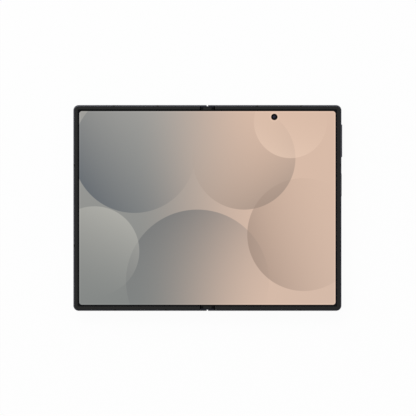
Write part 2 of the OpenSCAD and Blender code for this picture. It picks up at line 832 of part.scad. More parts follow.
module cover_glass() {
  color(glass_black) left_side() along_z(0, glass_t) half_plan(glass_x + 0.1, band_lip + 0.05);
}

module cover_display() {
  color(glass_black) left_side() difference() {
    along_z(glass_t, glass_t + cover_t) half_plan(cavity_x + inner_gap, band_t + inner_gap);
    translate([cover_cam_x, cover_cam_y, glass_t - 1]) cylinder(r = cover_cam_r + 0.2, h = 3);
    block(tray_x - tray_w / 2 - 2, tray_x + tray_w / 2 + 2, -half_len, tray_len + 2 - half_len, 0, 2);
  }
}

// Outline of the card tray's cover, grown by a gap
module tray_cover(gap) {
  stadium(tray_w + 2 * tray_rim + 2 * gap, tray_cover_h + 2 * gap);
}

module camera_can(r, top, w) {
  translate([0, 0, glass_t]) cylinder(r = r, h = 1.2);
  translate([-w / 2, -w / 2, glass_t + 1]) cube([w, w, top - glass_t - 1]);
}

module cover_camera() {
  color(glass_black) left_side() translate([cover_cam_x, cover_cam_y, 0])
    camera_can(cover_cam_r, mid_z, 2 * cover_cam_r + 0.4);
}

module earpiece() {
  color(foil_grey) left_side() difference() {
    block(cover_cam_x - ear_w / 2 - ear_side, cover_cam_x + ear_w / 2 + ear_side,
      inner_half - ear_depth, inner_half, glass_t + cover_t + 0.1, mid_z);
    along_y(inner_half - ear_chamber, half_len) translate([cover_cam_x, ear_z])
      stadium(ear_w, ear_slot_h);
  }
}

// Pouch with a thin lip at its upper end, where its tabs come out
module battery(y0, y1, low) {
  block(battery_x0, battery_x1, y0, y1 - battery_lip, low, mid_z);
  block(battery_x0 + 1, battery_x1 - 1, y1 - battery_lip - eps, y1, (low + mid_z) / 2, mid_z);
}

module left_battery() {
  color(foil_grey) left_side() battery(left_battery_y0, left_battery_y1, glass_t + cover_t + inner_gap);
}

module left_board() {
  color(board_green) left_side() {
    difference() {
      block(battery_x0, battery_x1, left_board_y0, left_board_y1, board_low, board_low + board_t);
      board_holes(left_board_screws);
      board_window(cover_cam_x, cover_cam_y, 2 * cover_cam_r + 1.6);
    }
    connectors(battery_x0, battery_x1, left_board_y0);
  }
}

module vibration_motor() {
  color(steel) left_side()
    translate([battery_x0 + motor_w / 2, (left_battery_y0 - inner_half) / 2, glass_t + cover_t + 0.1])
      linear_extrude(height = mid_z - glass_t - cover_t - 0.1) rounded(motor_w, motor_len, motor_r);
}

module sim_tray() {
  color(graphite) left_side() {
    difference() {
      intersection() {
        band();
        translate([0, -half_len - 1, 0]) along_y(0, band_t + 1)
          translate([tray_x, tray_z]) tray_cover(0);
      }
      translate([tray_x + tray_w / 2 - tray_side, -half_len - 1, tray_z]) rotate([-90, 0, 0])
        cylinder(r = pin_hole_r, h = band_t + 2);
    }
    difference() {
      block(tray_x - tray_w / 2, tray_x + tray_w / 2, -eps - inner_half, tray_len - inner_half,
        tray_z - tray_t / 2, tray_z + tray_t / 2);
      block(tray_x - tray_w / 2 + tray_side, tray_x + tray_w / 2 - tray_side, tray_web - inner_half,
        tray_len - tray_back - inner_half, tray_z - tray_t / 2 + tray_floor, tray_z + tray_t);
    }
  }
}

module sim_socket() {
  color(steel) left_side() difference() {
    block(tray_x - tray_w / 2 - cage_wall, tray_x + tray_w / 2 + cage_wall, 0.1 - inner_half,
      tray_len + cage_wall - inner_half, tray_z - tray_t / 2 - cage_floor, mid_z);
    block(tray_x - tray_w / 2 - tray_gap, tray_x + tray_w / 2 + tray_gap, -inner_half,
      tray_len + tray_gap - inner_half, tray_z - tray_t / 2 - tray_gap, tray_z + tray_t / 2 + tray_gap);
  }
}

module screen_panel() {
  along_z(screen_z, screen_top) half_plan(fold_x, band_t);
}

module left_display() {
  color(screen_tan) left_side() screen_panel();
}

module support_sheet() {
  along_z(sheet_z, screen_z) half_plan(shelf_x, band_t + inner_gap);
}

module left_support_sheet() {
  color(steel) left_side() support_sheet();
}

// Bent track in a bracket's cheeks, along which the pin in the arm's tip runs
module arm_track(w) {
  cx = axis_x + arm_reach;
  cz = axis_z + arm_pin_z - arm_shaft_z;
  dx = arm_shaft_x - axis_x;
  dz = arm_shaft_z - axis_z;
  r = sqrt(dx * dx + dz * dz);
  a0 = atan2(dz, dx);
  translate([cx, cz]) {
    intersection() {
      difference() {
        circle(r + w);
        circle(r - w);
      }
      polygon([
        [0, 0], 3 * r * [cos(a0), sin(a0)], 3 * r * [cos(a0 - 45), sin(a0 - 45)],
        3 * r * [cos(a0 - 90), sin(a0 - 90)]
      ]);
    }
    translate(r * [cos(a0), sin(a0)]) circle(w);
    translate(r * [cos(a0 - 90), sin(a0 - 90)]) circle(w);
  }
}

// Arc shoe about the fold axis, with the strip that carries it over the spine's rim
module shoe_section() {
  difference() {
    translate([axis_x, axis_z]) circle(shoe_out);
    translate([axis_x, axis_z]) circle(shoe_in);
    translate([axis_x - 4, mechanism_top - 0.05]) square([8, 4]);
    translate([axis_x + 0.6, strip_high]) square([4, 4]);
  }
  translate([axis_x + 1.7, strip_low]) square([bracket_x - axis_x - 1.2, strip_high - strip_low]);
}

// One bracket, screwed to the shelf, with its shoe and the two cheeks that guide an arm
module bracket(shoe_v) {
  translate([0, module_start, 0]) {
    block(bracket_x, fold_x - 0.1, 0.5, module_len - 0.5, shelf_z, bracket_top);
    along_y(shoe_v, shoe_v + shoe_w) shoe_section();
    block(bracket_x, bracket_x + bracket_wall, shoe_v, shoe_v + shoe_w, bracket_top - eps, strip_high);
    for (v = [gear_v - cheek_gap - cheek_t, gear_v + gear_w + cheek_gap])
      along_y(v, v + cheek_t) difference() {
        translate([bracket_x, bracket_top - eps])
          square([cheek_end - bracket_x, cheek_top - bracket_top + eps]);
        arm_track(arm_pin_r + 0.03);
      }
  }
}

module bracket_pair(shoe_v) {
  both_ends() difference() {
    bracket(shoe_v);
    for (p = bracket_screws)
      translate([p[0], module_start + p[1], shelf_z - 1]) cylinder(r = screw_hole_r, h = 2);
  }
}

module left_hinge_brackets() {
  color(steel) left_side() bracket_pair(left_shoe_v);
}

// Plate under the screen beside the fold, hung on pins so that it can drop as the phone closes
module wing() {
  block(wing_x, fold_x, -wing_half, wing_half, sheet_z - 0.05, screen_z - 0.05);
  for (y = wing_stations) {
    block(wing_pivot_x - 0.35, wing_pivot_x + 0.1, y - wing_tab_w / 2, y + wing_tab_w / 2, wing_pivot_z,
      sheet_z);
    translate([wing_pivot_x, y, wing_pivot_z]) rotate([-90, 0, 0]) {
      cylinder(r = wing_pin_r, h = wing_tab_w + 2 * lug_gap + 2 * lug_t - 0.1, center = true);
      cylinder(r = 0.38, h = wing_tab_w, center = true);
    }
  }
}

module left_wing_plate() {
  color(steel) left_side() wing();
}

module magnets() {
  for (y = [magnet_low, magnet_high])
    block(inner_reach - 0.1 - magnet_w, inner_reach - 0.1, y - half_len, y + magnet_len - half_len,
      mid_z - magnet_t, mid_z);
}

module left_magnets() {
  color(steel) left_side() magnets();
}

module left_screws() {
  color(steel) left_side() screws(left_board_screws);
}

/* Right half: the camera half */
module right_frame() {
  color(graphite) raised() difference() {
    union() {
      half_frame();
      bosses(right_board_screws);
      bay_walls(right_battery_y0, right_battery_y1, glass_t + inner_gap);
    }
    screw_holes(right_board_screws);
    flex_ways();
    key_slot(volume_len, volume_y);
    key_slot(power_len, power_y);
    along_y(-half_len - 1, usb_depth - inner_half) translate([usb_x, usb_z])
      stadium(usb_w + 2 * usb_wall, usb_h + 2 * usb_wall);
    for (x = speaker_holes)
      translate([x, -half_len - 1, usb_z]) rotate([-90, 0, 0])
        cylinder(r = speaker_hole_r, h = band_t + 2);
    mic_hole(usb_x - mic_shift, -1);
    mic_hole(top_mic_x, 1);
    translate([punch_x, punch_y, mid_z - 1]) cylinder(r = punch_r + 1.2, h = 3);
  }
}

module right_antenna_breaks() {
  color(foil_grey) raised() half_breaks();
}

module right_bezel() {
  color(soft_black) raised() bezel_ring();
}

module back_glass() {
  color(graphite) raised() difference() {
    along_z(0, glass_t) half_plan(glass_x + 0.1, band_lip + 0.05);
    translate([island_x, island_y, -1]) linear_extrude(height = 3)
      rounded(island_w - 4, island_l - 4, island_r - 2);
  }
}

// Slab with rounded corners in plan and a rounded upper edge
module soft_slab(w, l, r, h, e) {
  x = w / 2 - r;
  y = l / 2 - r;
  translate([-x, -y, 0]) cube([2 * x, 2 * y, h]);
  for (a = [0, 180]) rotate([0, 0, a]) {
    translate([x, 0, 0]) along_y(-y, y) soft_edge(r, h, e);
    translate([0, y, 0]) along_x(-x, x) soft_edge(r, h, e);
    translate([x, y, 0]) rotate_extrude(angle = 90) soft_edge(r, h, e);
    translate([-x, y, 0]) rotate([0, 0, 90]) rotate_extrude(angle = 90) soft_edge(r, h, e);
  }
}

module soft_edge(r, h, e) {
  difference() {
    square([r, h]);
    difference() {
      translate([r - e, h - e]) square([e + eps, e + eps]);
      translate([r - e, h - e]) circle(e);
    }
  }
}

module camera_island() {
  color(graphite) raised() translate([island_x, island_y, 0]) mirror([0, 0, 1]) difference() {
    soft_slab(island_w, island_l, island_r, island_t, island_e);
    for (y = ring_ys)
      translate([ring_x - island_x, y - island_y, -1])
        cylinder(r = ring_r - ring_wall - lens_seat, h = 5);
    translate([flash_x - island_x, 0, -1]) cylinder(r = flash_r, h = 5);
  }
}

module lens_rings() {
  color(steel) raised() for (y = ring_ys)
    translate([ring_x, y, -island_t]) mirror([0, 0, 1]) difference() {
      rotate_extrude() soft_edge(ring_r, ring_t, ring_e);
      translate([0, 0, -1]) cylinder(r = ring_r - ring_wall, h = ring_t + 2);
    }
}

module lens_glasses() {
  color(glass_black) raised() for (y = ring_ys)
    translate([ring_x, y, lens_inset - lift]) cylinder(r = ring_r - ring_wall, h = ring_t - lens_inset);
}

module camera_modules() {
  color(glass_black) raised() for (y = ring_ys) {
    translate([ring_x, y, -island_t + 0.05]) cylinder(r = barrel_r, h = island_t + 1.2);
    translate([ring_x - camera_w / 2, y - camera_w / 2, 1]) cube([camera_w, camera_w, mid_z - 1]);
  }
}

module flash_lens() {
  color([0.9, 0.88, 0.8]) raised() translate([flash_x, island_y, -island_t])
    cylinder(r = flash_r, h = island_t + glass_t);
}

module main_board() {
  color(board_green) raised() {
    difference() {
      block(main_board_x0, main_board_x1, main_board_y0, main_board_y1, board_low,
        board_low + board_t);
      board_holes(right_board_screws);
      board_window(punch_x, punch_y, inner_cam_w + 1.8);
    }
    connectors(main_board_x0, main_board_x1, main_board_y0);
  }
}

// Shield cans, open towards the board
module shield_cans() {
  w = main_board_x1 - main_board_x0;
  l = main_board_y1 - main_board_y0;
  color(steel) raised() for (c = can_shares)
    translate([main_board_x0 + c[0] * w, main_board_y0 + c[1] * l, board_low - can_h]) difference() {
      cube([c[2] * w, c[3] * l, can_h]);
      translate([can_wall, can_wall, can_wall])
        cube([c[2] * w - 2 * can_wall, c[3] * l - 2 * can_wall, can_h]);
    }
}

module right_battery() {
  color(foil_grey) raised() battery(right_battery_y0, right_battery_y1, glass_t + inner_gap);
}

module charging_coil() {
  color(copper) raised()
    translate([(battery_x0 + battery_x1) / 2, (right_battery_y0 + right_battery_y1) / 2, glass_t])
      rotate_extrude() difference() {
        translate([coil_bore_r, 0]) square([coil_r - coil_bore_r, inner_gap]);
        for (k = [1:coil_turns - 1])
          translate([coil_bore_r + k * coil_pitch - coil_pitch / 8, -eps])
            square([coil_pitch / 4, inner_gap / 2 + eps]);
      }
}

module usb_socket() {
  color(steel) raised() {
    difference() {
      along_y(usb_inset - half_len, usb_depth + usb_inset - half_len) translate([usb_x, usb_z])
        stadium(usb_w + 2 * usb_wall, usb_h + 2 * usb_wall);
      along_y(-half_len, usb_floor) translate([usb_x, usb_z]) stadium(usb_w, usb_h);
    }
    block(usb_x - tongue_w / 2, usb_x + tongue_w / 2, tongue_inset - half_len, usb_floor + 0.1,
      usb_z - tongue_t / 2, usb_z + tongue_t / 2);
  }
}

module usb_board() {
  color(board_green) raised()
    block(usb_x - usb_board_w / 2, usb_x + usb_board_w / 2, usb_depth + usb_inset + 0.15 - half_len,
      right_battery_y0 - bottom_spacing, usb_z - board_t / 2, usb_z + board_t / 2);
}

module bottom_speaker() {
  color(foil_grey) raised() difference() {
    block(speaker_x1 - speaker_w, speaker_x1, 0.1 - inner_half, right_battery_y0 - bottom_spacing,
      glass_t + inner_gap, mid_z);
    for (x = speaker_holes)
      translate([x, -half_len, usb_z]) rotate([-90, 0, 0]) cylinder(r = speaker_hole_r, h = 4);
  }
}

// Bar with round ends and a rounded upper edge, standing on its middle
module soft_bar(l, w, h, e) {
  run = (l - w) / 2;
  for (a = [0, 180]) rotate([0, 0, a]) {
    along_x(-run, run) soft_edge(w / 2, h, e);
    translate([run, 0, 0]) rotate([0, 0, -90]) rotate_extrude(angle = 180) soft_edge(w / 2, h, e);
  }
}

module key(len, y, rise, travel) {
  translate([key_back - flange_t, y, key_z]) rotate([90, 0, 90])
    soft_bar(len, key_w, half_reach + rise - key_back + flange_t, key_e);
  along_x(key_back - flange_t, key_back) translate([y, key_z])
    square([len + flange_l, key_w + flange_w], center = true);
  for (s = len > 16 ? [-0.32, 0.32] : [0])
    translate([switch_top + travel + 0.03, y + s * len, key_z]) rotate([0, 90, 0])
      cylinder(r = plunger_r, h = key_back - flange_t - switch_top - travel);
}

module volume_key() {
  color([0.37, 0.37, 0.4]) raised() key(volume_len, volume_y, volume_rise, volume_travel);
}

module power_key() {
  color(graphite) raised() key(power_len, power_y, power_rise, power_travel);
}

module key_switches() {
  color(copper) raised() {
    block(switch_x - 0.15, switch_x, power_y - power_len / 2 + 2, volume_y + volume_len / 2 - 1,
      key_z - 1, mid_z);
    for (y = [power_y, volume_y - 0.32 * volume_len, volume_y + 0.32 * volume_len])
      translate([switch_x - eps, y, key_z]) rotate([0, 90, 0])
        cylinder(r1 = 1, r2 = 0.7, h = switch_top - switch_x + eps);
  }
}

module inner_camera() {
  color(glass_black) raised() translate([punch_x, punch_y, 0]) {
    translate([0, 0, glass_t + 1.6]) cylinder(r = punch_r - 0.1, h = screen_top - glass_t - 1.7);
    translate([-inner_cam_w / 2, -inner_cam_w / 2, glass_t + 0.4]) cube([inner_cam_w, inner_cam_w, 2.2]);
  }
}

module punch() {
  translate([punch_x, punch_y, 0]) cylinder(r = punch_r, h = 8);
}

module right_display() {
  color(screen_tan) raised() difference() {
    screen_panel();
    punch();
  }
}

module right_support_sheet() {
  color(steel) raised() difference() {
    support_sheet();
    punch();
  }
}

module right_hinge_brackets() {
  color(steel) raised() bracket_pair(right_shoe_v);
}

module right_wing_plate() {
  color(steel) raised() wing();
}

module right_magnets() {
  color(steel) raised() magnets();
}

module right_screws() {
  color(steel) raised() screws(right_board_screws);
}

/* Hinge: everything that rides on the spine */
// Section between two arcs of one radius, one about each fold axis
module spine_outline(r) {
  for (s = [-1, 1]) translate([s * axis_x, axis_z]) circle(r);
  translate([-axis_x, axis_z - r]) square([2 * axis_x, 2 * r]);
}

// Notches in the spine's rim for the arms, the shoes' strips and the flexes
module rim_notches() {
  top = 2 * half_t;
  low = strip_low - 0.05;
  both_ends() for (m = [0, 1]) mirror([m, 0, 0]) {
    shoe = m == 0 ? right_shoe_v : left_shoe_v;
    block(0, bezel_x, module_start + gear_v - 0.1, module_start + gear_v + gear_w + 0.1, low, top);
    block(0, bezel_x, module_start + shoe - 0.15, module_start + shoe + shoe_w + 0.15, low, top);
  }
  for (s = [-1, 1])
    block(-bezel_x, bezel_x, s * flex_y - flex_w / 2 - flex_gap, s * flex_y + flex_w / 2 + flex_gap, low,
      top);
}

module spine_cover() {
  color([0.2, 0.2, 0.22]) raised() difference() {
    along_y(-spine_half, spine_half) intersection() {
      spine_outline(spine_r);
      translate([-half_t, 0]) square([2 * half_t, axis_z]);
    }
    along_y(0.5 - spine_half, spine_half - 0.5) spine_outline(trough_r);
    rim_notches();
    both_ends() block(-half_t, half_t, spine_half - 0.6, half_len, mechanism_top, half_t);
  }
}

module shaft_bores(r) {
  for (x = [-arm_shaft_x, arm_shaft_x]) translate([x, arm_shaft_z]) circle(r);
  for (x = [-idler_x, idler_x]) translate([x, idler_shaft_z]) circle(r);
}

module block_section() {
  intersection() {
    spine_outline(trough_r - 0.05);
    translate([-half_t, trough_z]) square([2 * half_t, mechanism_top - trough_z]);
  }
}

// Room for one shoe as it turns about its axis
module shoe_groove(v) {
  along_y(v - shoe_gap, v + shoe_w + shoe_gap) {
    difference() {
      translate([axis_x, axis_z]) circle(trough_r + 0.2);
      translate([axis_x, axis_z]) circle(shoe_in - 0.05);
      translate([-axis_x - half_t, 0]) square([half_t, half_t]);
    }
  }
}

module hinge_blocks() {
  color(steel) raised() both_ends() translate([0, module_start, 0]) {
    along_y(0, plate_t) difference() {
      block_section();
      shaft_bores(shaft_r + 0.005);
    }
    difference() {
      along_y(wall_v, module_len) block_section();
      along_y(wall_v - 1, wall_v + rib_t) shaft_bores(shaft_r + 0.005);
      shoe_groove(right_shoe_v);
      mirror([1, 0, 0]) shoe_groove(left_shoe_v);
    }
  }
}

module hinge_shafts() {
  color(steel) raised() both_ends()
    along_y(module_start + 0.1, module_start + wall_v + rib_t - 0.1) shaft_bores(shaft_r);
}

// Involute flank points: radius r seen from the base circle, as an angle
function involute(rb, r) = r <= rb ? 0 : sqrt(pow(r / rb, 2) - 1) * 180 / PI - acos(rb / r);

// Outline of a gear with involute teeth; one tooth points along phase
module gear_outline(phase, first, last) {
  rb = pitch_r * cos(pressure_angle);
  half_tooth = 90 / gear_teeth - tooth_play + involute(rb, pitch_r);
  steps = [0, 0.35, 0.7, 1];
  circle(root_r);
  for (i = [first:last]) rotate(phase + i * 360 / gear_teeth)
    polygon(concat(
      [[0, 0]], [for (s = [1, -1]) for (k = s > 0 ? steps : [1, 0.7, 0.35, 0])
        let (r = max(rb, root_r) + k * (tip_r - max(rb, root_r)), a = s * (half_tooth - involute(rb, r)))
          [r * cos(a), -r * sin(a)]]
    ));
}

module idler(x) {
  both_ends() along_y(module_start + gear_v + 0.05, module_start + gear_v + gear_w - 0.05)
    translate([x, idler_shaft_z]) difference() {
      gear_outline(180, 0, gear_teeth - 1);
      circle(shaft_r + shaft_play);
    }
}

module left_idler_gears() {
  color(steel) raised() idler(-idler_x);
}

module right_idler_gears() {
  color(steel) raised() idler(idler_x);
}

// Arm with its gear, cam hub, bar and tip pin, drawn on the camera half's side
module sync_arm(phase) {
  along_y(gear_v + 0.05, gear_v + gear_w - 0.05) difference() {
    union() {
      translate([arm_shaft_x, arm_shaft_z]) gear_outline(phase, -arm_teeth_half, arm_teeth_half);
      translate([arm_shaft_x + 0.2, arm_low]) square([arm_reach - 0.3, arm_bar_t]);
      translate([arm_pin_x, arm_pin_z]) circle(0.3);
    }
    translate([arm_shaft_x, arm_shaft_z]) circle(shaft_r + shaft_play);
  }
  along_y(hub_v + 0.4, gear_v + 0.1) translate([arm_shaft_x, arm_shaft_z]) difference() {
    circle(root_r);
    circle(shaft_r + shaft_play);
  }
  along_y(hub_v, hub_v + 0.5) translate([arm_shaft_x, arm_shaft_z]) difference() {
    cam_lobes();
    circle(shaft_r + shaft_play);
  }
  along_y(gear_v - cheek_gap - cheek_t, gear_v + gear_w + cheek_gap + cheek_t)
    translate([arm_pin_x, arm_pin_z]) circle(arm_pin_r);
}

module cam_lobes() {
  intersection() {
    circle(root_r);
    for (a = [0, 90]) rotate(a) square([2, 0.45], center = true);
  }
}

module left_sync_arms() {
  color(steel) left_side() both_ends() translate([0, module_start, 0])
    sync_arm(180 - left_arm_phase);
}

module right_sync_arms() {
  color(steel) raised() both_ends() translate([0, module_start, 0])
    sync_arm(right_arm_phase);
}

module cam_bridges() {
  color(steel) raised() both_ends() translate([0, module_start, 0]) {
    along_y(bridge_v, bridge_v + bridge_t) difference() {
      union() {
        shaft_bores(0.72);
        translate([-arm_shaft_x, idler_shaft_z]) square([2 * arm_shaft_x, 0.6]);
      }
      shaft_bores(shaft_r + shaft_play);
    }
  }
}

// Wire wound round a shaft: rings of points along a helix, with the ends drawn in to close
module spring() {
  n = spring_turns * spring_steps;
  rise = (spring_len - 2 * spring_wire_r) / n;
  pts = [for (i = [0:n], k = [0:spring_sides - 1])
    let (a = i * 360 / spring_steps, b = k * 360 / spring_sides, r = spring_r + spring_wire_r * cos(b))
      [r * cos(a), r * sin(a), spring_wire_r + i * rise + spring_wire_r * sin(b)]];
  sides = [for (i = [0:n - 1], k = [0:spring_sides - 1])
    let (p = i * spring_sides, q = p + spring_sides, j = (k + 1) % spring_sides) each
      [[p + k, q + k, q + j], [p + k, q + j, p + j]]];
  low = [for (k = [1:spring_sides - 2]) [0, k, k + 1]];
  last = n * spring_sides;
  high = [for (k = [1:spring_sides - 2]) [last, last + k + 1, last + k]];
  polyhedron(points = pts, faces = concat(low, sides, high));
}

module hinge_springs() {
  color(steel) raised() both_ends() translate([0, module_start + plate_t, 0]) {
    for (x = [-arm_shaft_x, arm_shaft_x])
      translate([x, 0, arm_shaft_z]) rotate([-90, 0, 0]) spring();
    for (x = [-idler_x, idler_x])
      translate([x, 0, idler_shaft_z]) rotate([-90, 0, 0]) spring();
  }
}

module cap_section() {
  cap_z = axis_z + 0.02;
  cap_h = bezel_top - 0.05 - cap_z;
  intersection() {
    spine_outline(spine_r);
    union() {
      translate([-half_t, cap_z]) square([2 * half_t, cap_h - cap_step]);
      translate([-cap_bar_w / 2, cap_z]) square([cap_bar_w, cap_h]);
    }
  }
  intersection() {
    spine_outline(trough_r - 0.05);
    translate([-half_t, trough_z]) square([2 * half_t, axis_z + 0.05 - trough_z]);
  }
}

module spine_end_caps() {
  color(soft_black) raised() both_ends() {
    along_y(spine_half - cap_len, spine_half - 0.5) cap_section();
    along_y(spine_half - 0.6, spine_half) intersection() {
      cap_section();
      translate([-half_t, mechanism_top]) square([2 * half_t, half_t]);
    }
  }
}

module display_fold_strip() {
  color(screen_tan) raised() along_z(screen_z, screen_top) {
    square([2 * fold_x, body_len - 2 * strip_border], center = true);
    for (s = [-1, 1])
      translate([s * (bezel_x + 0.1 + fold_x) / 2, 0])
        square([fold_x - bezel_x - 0.1, 2 * inner_half], center = true);
  }
}

module hinge_flexes() {
  low = trough_z + 2 * flex_t;
  color(copper) raised() for (s = [-1, 1])
    along_y(s * flex_y - flex_w / 2, s * flex_y + flex_w / 2) for (m = [0, 1]) mirror([m, 0])
      polygon([
        [cavity_x + 2 * flex_gap, flex_z], [axis_x + 2, flex_z], [axis_x + 0.6, low],
        [-eps, low], [-eps, low + flex_t],
        [axis_x + 0.55, low + flex_t], [axis_x + 1.95, flex_z + flex_t],
        [cavity_x + 2 * flex_gap, flex_z + flex_t]
      ]);
}

left_frame();
left_antenna_breaks();
left_bezel();
cover_glass();
cover_display();
cover_camera();
earpiece();
left_battery();
left_board();
vibration_motor();
sim_tray();
sim_socket();
left_display();
left_support_sheet();
left_hinge_brackets();
left_wing_plate();
left_magnets();
left_screws();
right_frame();
right_antenna_breaks();
right_bezel();
back_glass();
camera_island();
lens_rings();
lens_glasses();
camera_modules();
flash_lens();
main_board();
shield_cans();
right_battery();
charging_coil();
usb_socket();
usb_board();
bottom_speaker();
volume_key();
power_key();
key_switches();
inner_camera();
right_display();
right_support_sheet();
right_hinge_brackets();
right_wing_plate();
right_magnets();
right_screws();
spine_cover();
hinge_blocks();
hinge_shafts();
left_idler_gears();
right_idler_gears();
left_sync_arms();
right_sync_arms();
cam_bridges();
hinge_springs();
spine_end_caps();
display_fold_strip();
hinge_flexes();
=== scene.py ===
import bpy
import bmesh
import math
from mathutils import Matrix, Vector


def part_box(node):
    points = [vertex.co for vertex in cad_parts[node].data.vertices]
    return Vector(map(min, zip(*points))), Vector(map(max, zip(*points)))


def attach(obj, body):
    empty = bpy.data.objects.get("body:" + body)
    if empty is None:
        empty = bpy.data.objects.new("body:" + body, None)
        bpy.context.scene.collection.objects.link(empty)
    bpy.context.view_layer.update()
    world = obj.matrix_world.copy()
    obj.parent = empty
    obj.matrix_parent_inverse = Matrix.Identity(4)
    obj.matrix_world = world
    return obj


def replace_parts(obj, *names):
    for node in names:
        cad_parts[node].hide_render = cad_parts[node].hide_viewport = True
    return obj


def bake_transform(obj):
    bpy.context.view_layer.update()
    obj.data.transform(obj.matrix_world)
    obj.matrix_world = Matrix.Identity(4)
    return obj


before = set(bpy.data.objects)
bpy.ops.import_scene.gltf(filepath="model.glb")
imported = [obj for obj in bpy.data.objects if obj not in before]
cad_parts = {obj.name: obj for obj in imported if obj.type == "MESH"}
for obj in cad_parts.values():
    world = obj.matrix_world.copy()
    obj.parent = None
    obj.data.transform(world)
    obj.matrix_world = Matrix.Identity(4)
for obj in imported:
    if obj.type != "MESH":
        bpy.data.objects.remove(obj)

# The open phone as it was packed, in metres. It lies face up, its hinge along Y, and its camera
# rings touch the ground.
mm = 0.001
scene = bpy.context.scene
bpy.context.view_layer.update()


# Camera: the phone is photographed from straight above, through a lens so long that the outer
# walls of its band don't show.
frame_width = 250.45 * mm
lens_mm, sensor_mm = 600.0, 36.0
aim_x, aim_y = 0.36 * mm, -0.03 * mm
nearest, farthest = 0.05, 20.0
top_of_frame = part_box("right_bezel")[1].z
camera_data = bpy.data.cameras.new("front_camera")
camera_data.lens, camera_data.sensor_width = lens_mm, sensor_mm
camera_data.clip_start, camera_data.clip_end = nearest, farthest
camera = bpy.data.objects.new("front_camera", camera_data)
camera.location = (aim_x, aim_y, top_of_frame + frame_width * lens_mm / sensor_mm)
scene.collection.objects.link(camera)
scene.camera = camera
scene.view_settings.view_transform = "Standard"


# Ground: a wide white sheet just under the phone. To the camera and to mirroring glass it glows
# evenly, with a faint shadow, and it throws light on the phone as matt paper does.
class Wire:
    """A node's output that takes part in sums, which add Math nodes to its tree."""

    def __init__(self, finish, socket):
        self.finish, self.socket = finish, socket

    def math(self, operation, *values):
        return self.finish.node("ShaderNodeMath", {"operation": operation}, dict(enumerate(values)))

    def __add__(self, other):
        return self.math("ADD", self, other)

    def __sub__(self, other):
        return self.math("SUBTRACT", self, other)

    def __rsub__(self, other):
        return self.math("SUBTRACT", other, self)

    def __mul__(self, other):
        return self.math("MULTIPLY", self, other)

    def __truediv__(self, other):
        return self.math("DIVIDE", self, other)

    def __pow__(self, other):
        return self.math("POWER", self, other)

    __radd__, __rmul__ = __add__, __mul__

    def absolute(self):
        return self.math("ABSOLUTE", self)

    def sine(self):
        return self.math("SINE", self)

    def larger(self, other):
        return self.math("MAXIMUM", self, other)

    def above(self, level, blur):
        """1 where the value is over level, 0 where it is under, with an edge of width blur."""
        sockets = {"Value": self, "From Min": level - blur / 2, "From Max": level + blur / 2}
        return self.finish.node("ShaderNodeMapRange", {"interpolation_type": "SMOOTHSTEP"}, sockets)


class Finish:
    """A node tree under construction: a material's or the studio's."""

    def __init__(self, owner):
        owner.use_nodes = True
        self.owner, self.tree = owner, owner.node_tree
        self.tree.nodes.clear()

    def node(self, kind, settings, sockets, out=0):
        made = self.tree.nodes.new(kind)
        for name, value in settings.items():
            if name == "stops":
                ramp = made.color_ramp
                while len(ramp.elements) < len(value):
                    ramp.elements.new(0.5)
                for element, (place, colour) in zip(ramp.elements, value):
                    element.position, element.color = place, colour
            else:
                setattr(made, name, value)
        for name, value in sockets.items():
            if isinstance(value, Wire):
                self.tree.links.new(value.socket, made.inputs[name])
            else:
                made.inputs[name].default_value = value
        return Wire(self, made.outputs[out]) if made.outputs else None

    def coordinates(self, kind="Object"):
        return self.node("ShaderNodeTexCoord", {}, {}, kind)

    def axes(self, letters, place=None):
        """The coordinates that letters such as "XY" name, of a place or else of the object."""
        place = place or self.coordinates()
        return [self.node("ShaderNodeSeparateXYZ", {}, {0: place}, letter) for letter in letters]

    def mix(self, share, first, second, how="MIX"):
        """A mix of two colours, which go in at the node's sockets 6 and 7 and leave it at 2."""
        sockets = {0: share, 6: first, 7: second}
        return self.node("ShaderNodeMix", {"data_type": "RGBA", "blend_type": how}, sockets, 2)

    def noise(self, size, detail, place=None):
        """Noise from 0 to 1 with features of that size in metres."""
        sockets = {"Vector": place or self.coordinates(), "Scale": 1 / size, "Detail": detail}
        return self.node("ShaderNodeTexNoise", {}, sockets)

    def grain(self, x, y, z):
        """Noise with x, y and z features to a metre, so that lines run where they are fewest."""
        sockets = {0: self.coordinates(), 1: (x, y, z)}
        place = self.node("ShaderNodeVectorMath", {"operation": "MULTIPLY"}, sockets)
        return self.noise(size=1.0, detail=3, place=place)

    def bump(self, height, strength, depth):
        sockets = {"Height": height, "Strength": strength, "Distance": depth}
        return self.node("ShaderNodeBump", {}, sockets)

    def surface(self, **sockets):
        """The shader and the output, with sockets named base_color, roughness and so on."""
        named = {name.replace("_", " ").title().replace("Ior", "IOR"): value
                 for name, value in sockets.items()}
        shader = self.node("ShaderNodeBsdfPrincipled", {}, named)
        self.node("ShaderNodeOutputMaterial", {}, {"Surface": shader})
        return self.owner


def new_finish(name):
    return Finish(bpy.data.materials.new(name))


ground_reach = 3.0
under_phone = 0.02 * mm
glow_share = 0.96
white, paper_white = (1, 1, 1, 1), (0.9, 0.9, 0.9, 1)
floor_corners = [(x * ground_reach, y * ground_reach, -under_phone)
                 for x, y in ((-1, -1), (1, -1), (1, 1), (-1, 1))]
floor_mesh = bpy.data.meshes.new("floor")
floor_mesh.from_pydata(floor_corners, [], [(0, 1, 2, 3)])
floor = bpy.data.objects.new("floor", floor_mesh)
scene.collection.objects.link(floor)

